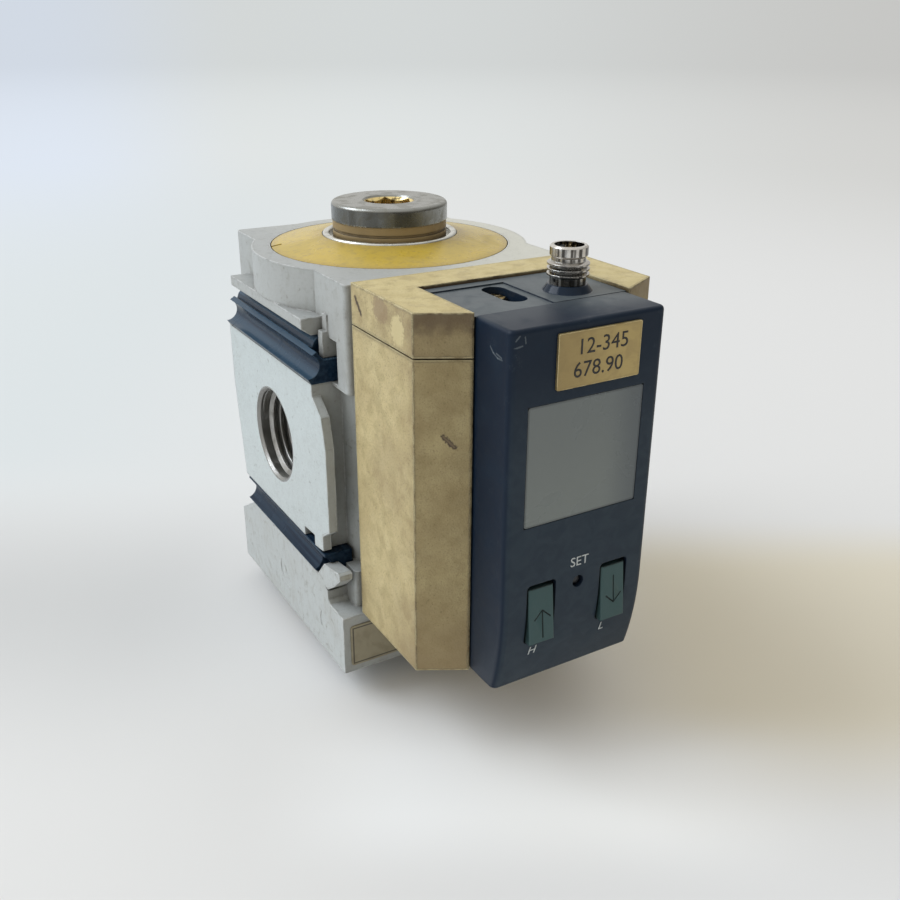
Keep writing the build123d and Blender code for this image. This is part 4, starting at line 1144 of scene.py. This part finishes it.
@dataclass(frozen=True)
class FloorPaper(Finish):
    """Pale seamless floor that keeps its tone far from the object."""

    near: Point = (0.725, 0.725, 0.722)
    mottle: Point = (0.69, 0.69, 0.68)
    cool: Point = (0.655, 0.690, 0.702)
    # Tones of the painted shadows and the painted light near the object.
    dim: Point = (0.565, 0.570, 0.570)
    warm: Point = (0.700, 0.655, 0.545)
    pale: Point = (0.85, 0.86, 0.865)
    lit: Point = (0.870, 0.870, 0.855)
    near_radius: float = 0.30
    far_radius: float = 0.95

    def tone(self, g: Graph, place: Socket) -> Socket:
        """Makes the paper's own colour, with painted shadow and painted light near the object.

        Args:
            g: Graph of the material.
            place: Place in metres.

        Returns:
            The colour.
        """
        side, away = g.dot(place, STUDIO_RIGHT), g.dot(place, STUDIO_AWAY)
        off_dim_band, off_warm_shadow = g.absolute(g.plus(away, 0.008)), g.absolute(g.plus(away, 0.022))
        painted_light_tone = g.mix(g.step(side, 0.0, 0.04), self.pale, self.lit)
        ahead = g.band(away, -0.102, -0.046, 0.022)
        return g.layered(
            self.near,
            (self.mottle, g.step(g.noise(place, 2.0, 3.0), 0.3, 0.7, 0.0, 0.04)),
            (self.cool, g.fall(side, -0.16, 0.02), g.step(away, -0.01, 0.10)),
            # Painted shadow: a dim band across the floor on the left.
            (self.dim, g.step(side, -0.07, -0.01, 0.9, 0.0), g.fall(off_dim_band, 0.0, 0.08)),
            # Painted shadow: a warm, darker tone on the right.
            (self.warm, g.step(side, 0.02, 0.08), g.fall(off_warm_shadow, 0.03, 0.066)),
            # Painted light: a paler patch in front of the object, lifting its shadow.
            (painted_light_tone, ahead, g.step(side, -0.03, 0.01), g.step(side, 0.05, 0.10, 1.0, 0.2)),
        )

    def material(self) -> bpy.types.Material:
        """Makes a diffuse floor that far away shows its own tone to the camera.

        Returns:
            The material.
        """
        made = bpy.data.materials.new(self.name)
        g = Graph(blank_tree(made))
        place = g.node("TexCoord").outputs["Object"]
        distance = g.length(place)
        distant = g.step(distance, self.near_radius, self.far_radius)
        paper = g.node("BsdfDiffuse", {"Color": self.tone(g, place)})
        ray = g.vector("NORMALIZE", g.vector("SUBTRACT", place, tuple(part * MM for part in STUDIO_EYE_MM)))
        glow = g.node("Emission", {"Color": backdrop_tone(g, ray), "Strength": g.step(distance, 0.5, 3.2, 1.16, 1.0)})
        path = g.node("LightPath").outputs
        seen = g.math("MAXIMUM", path["Is Camera Ray"], path["Is Glossy Ray"])
        seen = g.math("MAXIMUM", seen, path["Is Transmission Ray"])
        shown = g.node("MixShader", {0: g.times(distant, seen), 1: paper.outputs[0], 2: glow.outputs[0]})
        g.node("OutputMaterial", {"Surface": shown.outputs[0]})
        return made


BODY_PAINT = CastPaint("cast_paint")
PORT_METAL = TurnedMetal(
    "port_thread_metal", base=(0.40, 0.395, 0.375), shade=(0.16, 0.15, 0.125), tarnish=0.5, roughness=0.28
)
RING_AMBER = RingPlastic("amber_ring")
PLUG_ZINC = TurnedMetal("plug_zinc", base=(0.29, 0.295, 0.28), socket_radius_mm=6.0, tarnish=0.4, side_shade=0.78)
BUSH_METAL = TurnedMetal("bush_metal", base=(0.66, 0.66, 0.62), roughness=0.2, tarnish=0.3)
SEAL_TAN = MouldedPlastic(
    "seal_tan", base=(0.33, 0.235, 0.105), cloud=(0.21, 0.15, 0.066), wear_and_highlight=(0.36, 0.28, 0.14), roughness=0.5, edge_wear_and_highlight=0.3
)
SEAL_BLACK = MouldedPlastic("seal_black", base=(0.012, 0.012, 0.012), roughness=0.5, edge_wear_and_highlight=0.1)
# On the strips, the pale blue of the edges and the streak lines is a painted highlight along the ridges.
STRIP_PLASTIC = MouldedPlastic(
    "strip_plastic", base=(0.004, 0.014, 0.032), cloud=(0.008, 0.021, 0.042), wear_and_highlight=(0.046, 0.088, 0.135),
    roughness=0.26, edge_wear_and_highlight=0.8, scratches=0.5, specular=0.14, sheen_streaks=0.2,
)
COVER_TAN = CoverPlastic("cover_tan")
SENSOR_NAVY = SensorPlastic(
    "sensor_navy", base=(0.004, 0.012, 0.028), cloud=(0.007, 0.018, 0.035), wear_and_highlight=(0.10, 0.125, 0.145),
    roughness=0.44, grain_per_mm=4.5, edge_wear_and_highlight=0.4, scratches=0.42, depth_mm=0.01, specular=0.19,
)
LENS_GREY = LensPlastic("lens_grey")
TAG_BRASS = PlateMetal("tag_brass")
LABEL_TAN = LabelPaper("label_tan")
NICKEL = TurnedMetal(
    "connector_nickel", base=(0.66, 0.635, 0.60), shade=(0.30, 0.26, 0.21), centre_mm=(7.7, -57.4), roughness=0.12,
    tarnish=0.3, rounding_mm=0.12, bands=0.9, glint_scale=3.2,
)
NIPPLE_METAL = TurnedMetal("nipple_metal", base=(0.70, 0.68, 0.64), roughness=0.2, tarnish=0.1)
PIN_GOLD = TurnedMetal("pin_gold", base=(0.84, 0.62, 0.26), shade=(0.5, 0.36, 0.14), roughness=0.2, tarnish=0.2)
SCREW_BRASS = TurnedMetal(
    "screw_brass", base=(0.70, 0.52, 0.22), shade=(0.30, 0.20, 0.08), centre_mm=(-3.8, -50.4), roughness=0.25
)
INSERT_BLACK = MouldedPlastic("insert_black", base=(0.010, 0.010, 0.011), roughness=0.35, edge_wear_and_highlight=0.15)
BOARD_GREEN = MouldedPlastic(
    "board_green", base=(0.02, 0.11, 0.05), cloud=(0.03, 0.14, 0.07), roughness=0.35, edge_wear_and_highlight=0.1
)
LCD_GLASS = MouldedPlastic("lcd_glass", base=(0.10, 0.12, 0.10), cloud=(0.12, 0.14, 0.12), roughness=0.2, edge_wear_and_highlight=0.0)
INK_WHITE = MouldedPlastic(
    "ink_white", base=(0.62, 0.66, 0.66), cloud=(0.50, 0.54, 0.55), wear_and_highlight=(0.4, 0.4, 0.4), roughness=0.55, edge_wear_and_highlight=0.0,
    depth_mm=0.003,
)
INK_BLACK = MouldedPlastic(
    "ink_black", base=(0.014, 0.013, 0.013), cloud=(0.028, 0.024, 0.02), roughness=0.45, edge_wear_and_highlight=0.0, depth_mm=0.003
)


def at(rise_mm: float) -> float:
    """Returns the height in metres of a rise given from the port axis."""
    return (PORT_AXIS_MM + rise_mm) * MM


def dress(finish: Finish, *nodes: str) -> None:
    """Gives solids their finish.

    Args:
        finish: The finish.
        nodes: Names of the solids.
    """
    for node in nodes:
        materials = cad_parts[node].data.materials
        materials.clear()
        materials.append(finish.material())
        LOG.info("dressed %s in %s", node, finish.name)


def add_object(name: str, data: bpy.types.ID) -> bpy.types.Object:
    """Adds an object to the scene.

    Args:
        name: The object's name.
        data: Its mesh, curve, camera or light.

    Returns:
        The new object.
    """
    made = bpy.data.objects.new(name, data)
    bpy.context.scene.collection.objects.link(made)
    return made


def add_piece(name: str, mesh: bpy.types.Mesh, finish: Finish, body: Body) -> bpy.types.Object:
    """Adds a piece of the scene's own.

    Args:
        name: The piece's name.
        mesh: Its mesh, in metres in the shared frame.
        finish: Its finish.
        body: The body that carries it.

    Returns:
        The new object.
    """
    mesh.materials.clear()
    mesh.materials.append(finish.material())
    piece = add_object(name, mesh)
    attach(piece, body.value)
    LOG.info("added %s with %d faces", name, len(mesh.polygons))
    return piece


def smooth_by_angle(mesh: bpy.types.Mesh, degrees: float) -> None:
    """Shades a mesh smooth, with edges above the angle left sharp."""
    mesh.shade_smooth()
    mesh.set_sharp_from_angle(angle=math.radians(degrees))


def shown_mesh(holder: bpy.types.Object) -> bpy.types.Mesh:
    """Returns a copy of what an object shows, with its modifiers applied."""
    bpy.context.view_layer.update()
    return bpy.data.meshes.new_from_object(holder.evaluated_get(bpy.context.evaluated_depsgraph_get()))


def take_mesh(name: str, built: bmesh.types.BMesh) -> bpy.types.Mesh:
    """Turns an edit mesh into a mesh and frees it.

    Args:
        name: Name of the mesh.
        built: The edit mesh.

    Returns:
        The new mesh.
    """
    mesh = bpy.data.meshes.new(name)
    built.to_mesh(mesh)
    built.free()
    return mesh


def loft_mesh(name: str, rings: list[list[Vector]]) -> bpy.types.Mesh:
    """Makes a mesh of quads through equal rings of points, with a face on the first and the last ring.

    Args:
        name: Name of the mesh.
        rings: Rings of equally many points, each ring closed.

    Returns:
        The new mesh.
    """
    built = bmesh.new()
    rows = [[built.verts.new(point) for point in ring] for ring in rings]
    count = len(rows[0])
    for first, second in zip(rows, rows[1:]):
        for i in range(count):
            j = (i + 1) % count
            built.faces.new((first[i], first[j], second[j], second[i]))
    built.faces.new(list(reversed(rows[0])))
    built.faces.new(rows[-1])
    bmesh.ops.recalc_face_normals(built, faces=built.faces)
    return take_mesh(name, built)


@dataclass
class PortThread:
    """Pipe thread inside one port of the straight run."""

    name: str
    side: int
    wall_radius_mm: float = 10.44
    crest_radius_mm: float = 9.45
    pitch_mm: float = 1.814
    turns: float = 7.6
    run_in_turns: float = 0.4
    least_height: float = 0.02
    root_share: float = 0.46
    crest_share: float = 0.08
    bite_mm: float = 0.2
    mouth_mm: float = 30.2
    steps_per_turn: int = 64

    def build(self) -> None:
        """Adds the thread as one helical ridge that runs out at both ends."""
        rings = []
        wall = self.wall_radius_mm
        for step in range(int(self.turns * self.steps_per_turn) + 1):
            turn = step / self.steps_per_turn
            angle = 2 * math.pi * turn
            run_in = min(1.0, turn / self.run_in_turns, (self.turns - turn) / self.run_in_turns)
            crest = wall - (wall - self.crest_radius_mm) * max(run_in, self.least_height)
            middle = self.mouth_mm - self.pitch_mm * (0.5 + turn)
            profile = (
                (-self.root_share, wall), (-self.crest_share, crest), (self.crest_share, crest),
                (self.root_share, wall), (0.0, wall + self.bite_mm),
            )
            rings.append([
                Vector((
                    self.side * (middle + along * self.pitch_mm) * MM,
                    radius * math.cos(angle) * MM,
                    at(radius * math.sin(angle)),
                ))
                for along, radius in profile
            ])
        mesh = loft_mesh(self.name, rings)
        smooth_by_angle(mesh, 40)
        add_piece(self.name, mesh, PORT_METAL, Body.MODULE)


@dataclass
class CastCurve:
    """Faint raised line that the mould left on the lower block's left face."""

    name: str
    path_mm: tuple[Pair, ...]
    face_x_mm: float = -31.0
    half_width_mm: float = 0.3
    proud_mm: float = 0.18
    bite_mm: float = 0.1
    crest_share: float = 0.45
    end_share: float = 0.25
    taper_steps: int = 5
    steps: int = 8

    def smooth_path(self) -> list[Pair]:
        """Rounds the path.

        Returns:
            Points (y, rise) along a smooth curve through it.
        """
        ends = (self.path_mm[0], *self.path_mm, self.path_mm[-1])
        points = []
        for a, b, c, d in zip(ends, ends[1:], ends[2:], ends[3:]):
            for i in range(self.steps):
                t = i / self.steps
                points.append(tuple(
                    0.5 * (2 * q + (r - p) * t + (2 * p - 5 * q + 4 * r - e) * t**2 + (3 * q - p - 3 * r + e) * t**3)
                    for p, q, r, e in zip(a, b, c, d)
                ))
        return [*points, self.path_mm[-1]]

    def build(self) -> None:
        """Adds the line as a low ridge that thins out at both ends."""
        points = self.smooth_path()
        rings = []
        for i, (y, rise) in enumerate(points):
            before, after = points[max(i - 1, 0)], points[min(i + 1, len(points) - 1)]
            run, climb = after[0] - before[0], after[1] - before[1]
            length = math.hypot(run, climb)
            taper = min(1.0, self.end_share + min(i, len(points) - 1 - i) / self.taper_steps)
            half, proud = self.half_width_mm * taper, self.proud_mm * taper
            profile = (
                (1.0, -self.bite_mm), (self.crest_share, proud), (-self.crest_share, proud), (-1.0, -self.bite_mm)
            )
            side_y, side_rise = -climb / length * half, run / length * half
            rings.append([
                Vector(((self.face_x_mm - out) * MM, (y + side_y * way) * MM, at(rise + side_rise * way)))
                for way, out in profile
            ])
        mesh = loft_mesh(self.name, rings)
        smooth_by_angle(mesh, 60)
        add_piece(self.name, mesh, BODY_PAINT, Body.MODULE)


@dataclass
class CastBlock:
    """Cast block with its bores, port threads, mould lines and rating label."""

    ports: tuple[PortThread, ...] = (PortThread("left_port_thread", -1), PortThread("right_port_thread", 1))
    curves: tuple[CastCurve, ...] = (
        CastCurve("cast_curve_outer", ((1.56, -33.59), (1.49, -36.85), (-0.79, -39.29), (-3.38, -39.85))),
        CastCurve("cast_curve_inner", ((-1.01, -34.39), (-2.1, -36.4), (-4.05, -37.59))),
        CastCurve("cast_curve_front", ((-22.63, -35.24), (-22.09, -37.41), (-22.78, -39.30))),
    )

    def build(self) -> None:
        """Dresses the block and adds its threads and mould lines."""
        dress(BODY_PAINT, "module_body")
        dress(LABEL_TAN, "rating_plate")
        for detail in (*self.ports, *self.curves):
            detail.build()


@dataclass
class BranchPort:
    """One closed end of the vertical branch: disc, bush, seal and plug."""

    end: str

    def build(self) -> None:
        """Dresses the pieces of this end."""
        dress(RING_AMBER, self.end + "_disc")
        dress(BUSH_METAL, self.end + "_port_bush")
        dress(SEAL_BLACK, self.end + "_bush_o_ring")
        dress(SEAL_TAN, self.end + "_seal_ring")
        dress(PLUG_ZINC, self.end + "_screw_plug")


@dataclass
class ConnectorStrips:
    """The two dark navy strips in the left side's slots."""

    nodes: tuple[str, ...] = ("upper_connector_strip", "lower_connector_strip")

    def build(self) -> None:
        """Dresses both strips."""
        dress(STRIP_PLASTIC, *self.nodes)


@dataclass
class FrontCover:
    """Tan cover in front of the block, with its cap, hidden screws and the seal in its seam."""

    seam_mm: float = 0.3
    inset_mm: float = 0.5
    play_mm: float = 0.01

    def seal_mesh(self) -> bpy.types.Mesh:
        """Makes a narrow seal under the cap's rim, which fills the seam behind its edges.

        Returns:
            The mesh: the rim's faces, inset and lowered by the seam.
        """
        bm = bmesh.new()
        bm.from_mesh(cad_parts["cover_cap"].data)
        bottom = min(vert.co.z for vert in bm.verts)
        above = [face for face in bm.faces if max(vert.co.z for vert in face.verts) >= bottom + self.play_mm * MM]
        bmesh.ops.delete(bm, geom=above, context="FACES")
        border = bmesh.ops.inset_region(
            bm, faces=bm.faces[:], thickness=self.inset_mm * MM, use_even_offset=True, use_boundary=True
        )
        bmesh.ops.delete(bm, geom=border["faces"], context="FACES")
        lowered = bmesh.ops.extrude_face_region(bm, geom=bm.faces[:])
        moved = [item for item in lowered["geom"] if isinstance(item, bmesh.types.BMVert)]
        for vert in bm.verts:
            vert.co.z = bottom - self.play_mm * MM
        for vert in moved:
            vert.co.z = bottom - (self.seam_mm - self.play_mm) * MM
        bmesh.ops.recalc_face_normals(bm, faces=bm.faces[:])
        return take_mesh("cover_seam_seal", bm)

    def build(self) -> None:
        """Dresses the cover and lays the seal in its seam."""
        dress(COVER_TAN, "cover_shell", "cover_cap")
        dress(PLUG_ZINC, "cover_screws")
        add_piece("cover_seam_seal", self.seal_mesh(), SEAL_BLACK, Body.MODULE)


@dataclass
class PrintedMark:
    """Printed characters on the sensor's face or on its tag."""

    name: str
    text: str
    middle_mm: Pair
    height_mm: float
    face_y_mm: float
    finish: Finish
    slot: str
    tilt_deg: float = 0.0
    thickness_mm: float = 0.03
    weight_mm: float = 0.0
    slant: float = 0.0
    cap_share: float = 0.72

    def build(self) -> None:
        """Adds the characters as thin raised ink."""
        font = bpy.data.curves.new(self.name, "FONT")
        font.body = self.text
        font.align_x = "CENTER"
        font.align_y = "CENTER"
        font.size = self.height_mm * MM / self.cap_share
        font.extrude = self.thickness_mm * MM
        font.offset = self.weight_mm * MM
        font.shear = self.slant
        font.resolution_u = 3
        holder = add_object(self.name, font)
        mesh = shown_mesh(holder)
        bpy.data.objects.remove(holder)
        turn = Matrix.Rotation(math.radians(90 - self.tilt_deg), 4, "X")
        place = Matrix.Translation((self.middle_mm[0] * MM, self.face_y_mm * MM, at(self.middle_mm[1])))
        mesh.transform(place @ turn)
        mesh.name = self.name
        add_piece(self.name, mesh, self.finish, Body.MODULE)


@dataclass
class ArrowKey:
    """A key with an arrow engraved in its face."""

    node: str
    body: Body
    middle_x_mm: float
    tip_rise_mm: float
    points_up: bool
    depth_mm: float = 0.22
    front_mm: float = 0.5

    OUTLINE: ClassVar[tuple[Pair, ...]] = (
        (0.0, 0.20), (1.95, -1.65), (1.77, -1.84), (0.13, -0.28), (0.13, -5.8),
        (-0.13, -5.8), (-0.13, -0.28), (-1.77, -1.84), (-1.95, -1.65),
    )

    def cutter(self) -> bpy.types.Object:
        """Makes the solid that cuts the arrow.

        Returns:
            The solid, from in front of the key's face to the groove's depth.
        """
        sign = 1 if self.points_up else -1
        rises = [self.tip_rise_mm + sign * z for _, z in self.OUTLINE]
        outline = [
            Vector(((self.middle_x_mm + x) * MM, KEY_FACE.depth(rise) * MM, at(rise)))
            for (x, _), rise in zip(self.OUTLINE, rises)
        ]
        front = [point - Vector((0, self.front_mm * MM, 0)) for point in outline]
        back = [point + Vector((0, self.depth_mm * MM, 0)) for point in outline]
        return add_object(self.node + "_arrow", loft_mesh(self.node + "_arrow", [front, back]))

    def build(self) -> None:
        """Adds the engraved key in place of the plain one."""
        tool = self.cutter()
        blank = add_object(self.node + "_blank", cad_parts[self.node].data.copy())
        cut = blank.modifiers.new("arrow", "BOOLEAN")
        cut.operation = "DIFFERENCE"
        cut.solver = "EXACT"
        cut.object = tool
        mesh = shown_mesh(blank)
        for spare in (blank, tool):
            bpy.data.objects.remove(spare)
        smooth_by_angle(mesh, 30)
        finish = KeyRubber(self.node + "_rubber", middle_x_mm=self.middle_x_mm)
        piece = add_piece(self.node + "_engraved", mesh, finish, self.body)
        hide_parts(self.node)


@dataclass
class PressureSensor:
    """Sensor housings with window, tag, keys, marks and electronics."""

    keys: tuple[ArrowKey, ...] = (
        ArrowKey("button_a", Body.KEY_A, -7.85, -13.3, True),
        ArrowKey("button_b", Body.KEY_B, 9.15, -16.6, False),
    )
    marks: tuple[PrintedMark, ...] = (
        PrintedMark("mark_set", "SET", (0.5, -5.2), 2.0, -75.11, INK_WHITE, "sensor_black", weight_mm=0.01),
        PrintedMark(
            "mark_high", "H", (-9.2, -22.6), 1.9, -74.24, INK_WHITE, "sensor_black",
            tilt_deg=-7.8, weight_mm=0.01, slant=0.2,
        ),
        PrintedMark(
            "mark_low", "L", (7.6, -22.6), 1.9, -74.24, INK_WHITE, "sensor_black",
            tilt_deg=-7.8, weight_mm=0.01, slant=0.2,
        ),
        PrintedMark("tag_line_one", "12-345", (2.3, 37.6), 2.9, -75.61, INK_BLACK, "tag_brass"),
        PrintedMark("tag_line_two", "678.90", (1.5, 33.5), 2.9, -75.61, INK_BLACK, "tag_brass"),
    )

    def build(self) -> None:
        """Dresses the sensor and adds its keys and marks."""
        dress(SENSOR_NAVY, "sensor_rear_housing", "sensor_front_housing")
        dress(LENS_GREY, "display_window")
        dress(TAG_BRASS, "tag_plate")
        dress(INSERT_BLACK, "button_set")
        dress(SCREW_BRASS, "fixing_screw")
        for detail in (*self.keys, *self.marks):
            detail.build()
        self.dress_inside()

    def dress_inside(self) -> None:
        """Dresses what the housings enclose."""
        dress(LCD_GLASS, "lcd_module")
        dress(BOARD_GREEN, "circuit_board")
        dress(SEAL_BLACK, "contact_strips", "body_o_ring", "cell_o_ring")
        dress(NIPPLE_METAL, "pressure_cell", "pressure_nipple")
        dress(PIN_GOLD, "cell_leads")
        dress(INSERT_BLACK, "switch_a", "switch_b", "switch_set")


@dataclass
class RoundConnector:
    """Threaded plug connector on the sensor's top."""

    def build(self) -> None:
        """Dresses the barrel, insert and pins."""
        dress(NICKEL, "connector_barrel")
        dress(INSERT_BLACK, "connector_insert")
        dress(PIN_GOLD, "contact_pins")


@dataclass
class Studio:
    """Camera, lamps and floor."""

    focal_px: float = 994.22
    image_px: float = 900.0
    sensor_width_mm: float = 36.0
    pitch: float = 0.414
    roll: float = -0.005
    aim: Point = (0.0, -0.015, 0.05)
    bright_side: Point = (-0.36, 0.52, 0.77)
    dark_until: float = -0.5
    bright_from: float = 0.7
    low_tone: Point = (0.165, 0.152, 0.130)
    high_tone: Point = (0.885, 0.875, 0.845)
    strength: float = 1.05
    clip: Pair = (0.01, 40.0)
    floor_radius: float = 14.0
    floor_drop: float = 0.0001

    def camera(self) -> None:
        """Adds the camera at the photograph's place."""
        data = bpy.data.cameras.new("camera")
        data.sensor_width = self.sensor_width_mm
        data.lens = self.focal_px / self.image_px * self.sensor_width_mm
        data.clip_start, data.clip_end = self.clip
        made = add_object("camera", data)
        level = Vector(STUDIO_RIGHT)
        forward = Vector(STUDIO_AWAY) * math.cos(self.pitch) - Vector((0.0, 0.0, math.sin(self.pitch)))
        down = forward.cross(level)
        right = math.cos(self.roll) * level + math.sin(self.roll) * down
        low = math.cos(self.roll) * down - math.sin(self.roll) * level
        eye = Vector(STUDIO_EYE_MM) * MM
        made.matrix_world = Matrix.Translation(eye) @ Matrix((right, -low, -forward)).transposed().to_4x4()
        bpy.context.scene.camera = made

    def lamp(self, name: str, place: Point, size: float, watts: float, colour: Point) -> None:
        """Adds a square soft lamp that points at the module.

        Args:
            name: The lamp's name.
            place: Its place in metres.
            size: Its side in metres.
            watts: Its power.
            colour: Its colour.
        """
        data = bpy.data.lights.new(name, "AREA")
        data.shape = "SQUARE"
        data.size, data.energy, data.color = size, watts, colour
        made = add_object(name, data)
        made.location = place
        made.rotation_mode = "QUATERNION"
        made.rotation_quaternion = (Vector(self.aim) - Vector(place)).to_track_quat("-Z", "Y")

    def world(self) -> None:
        """Lights the scene evenly and shows a plain backdrop tone to the camera."""
        sky = bpy.data.worlds.new("studio")
        bpy.context.scene.world = sky
        g = Graph(blank_tree(sky))
        ray = g.node("TexCoord").outputs["Generated"]
        bright = g.step(g.dot(ray, self.bright_side), self.dark_until, self.bright_from)
        sky_tone = g.mix(bright, self.low_tone, self.high_tone)
        light = g.node("Background", {"Color": sky_tone, "Strength": self.strength})
        tone = g.node("Background", {"Color": backdrop_tone(g, ray)})
        seen = g.node("LightPath").outputs["Is Camera Ray"]
        shown = g.node("MixShader", {0: seen, 1: light.outputs[0], 2: tone.outputs[0]})
        g.node("OutputWorld", {"Surface": shown.outputs[0]})

    def floor(self) -> None:
        """Adds the pale floor."""
        built = bmesh.new()
        bmesh.ops.create_circle(built, cap_ends=True, segments=96, radius=self.floor_radius)
        made = add_object("floor", take_mesh("floor", built))
        made.location = (0.0, 0.0, -self.floor_drop)
        made.data.materials.append(FloorPaper("floor_paper").material())

    def build(self) -> None:
        """Sets the studio up."""
        bpy.context.scene.view_settings.view_transform = "Standard"
        self.camera()
        self.world()
        self.floor()
        self.lamp("window_light", (-1.70, 1.05, 1.95), 1.7, 43.0, (0.84, 0.91, 1.0))
        self.lamp("front_fill", (0.45, -1.30, 0.80), 1.2, 0.8, (1.0, 0.95, 0.88))


def main() -> None:
    """Builds every sub-assembly in order."""
    logging.basicConfig(level=logging.INFO, format="%(name)s: %(message)s")
    assemblies = (
        Studio(), CastBlock(), BranchPort("top"), BranchPort("bottom"), ConnectorStrips(), FrontCover(),
        PressureSensor(), RoundConnector(),
    )
    for assembly in assemblies:
        assembly.build()
        LOG.info("built %s", type(assembly).__name__)


if __name__ == "__main__":
    main()
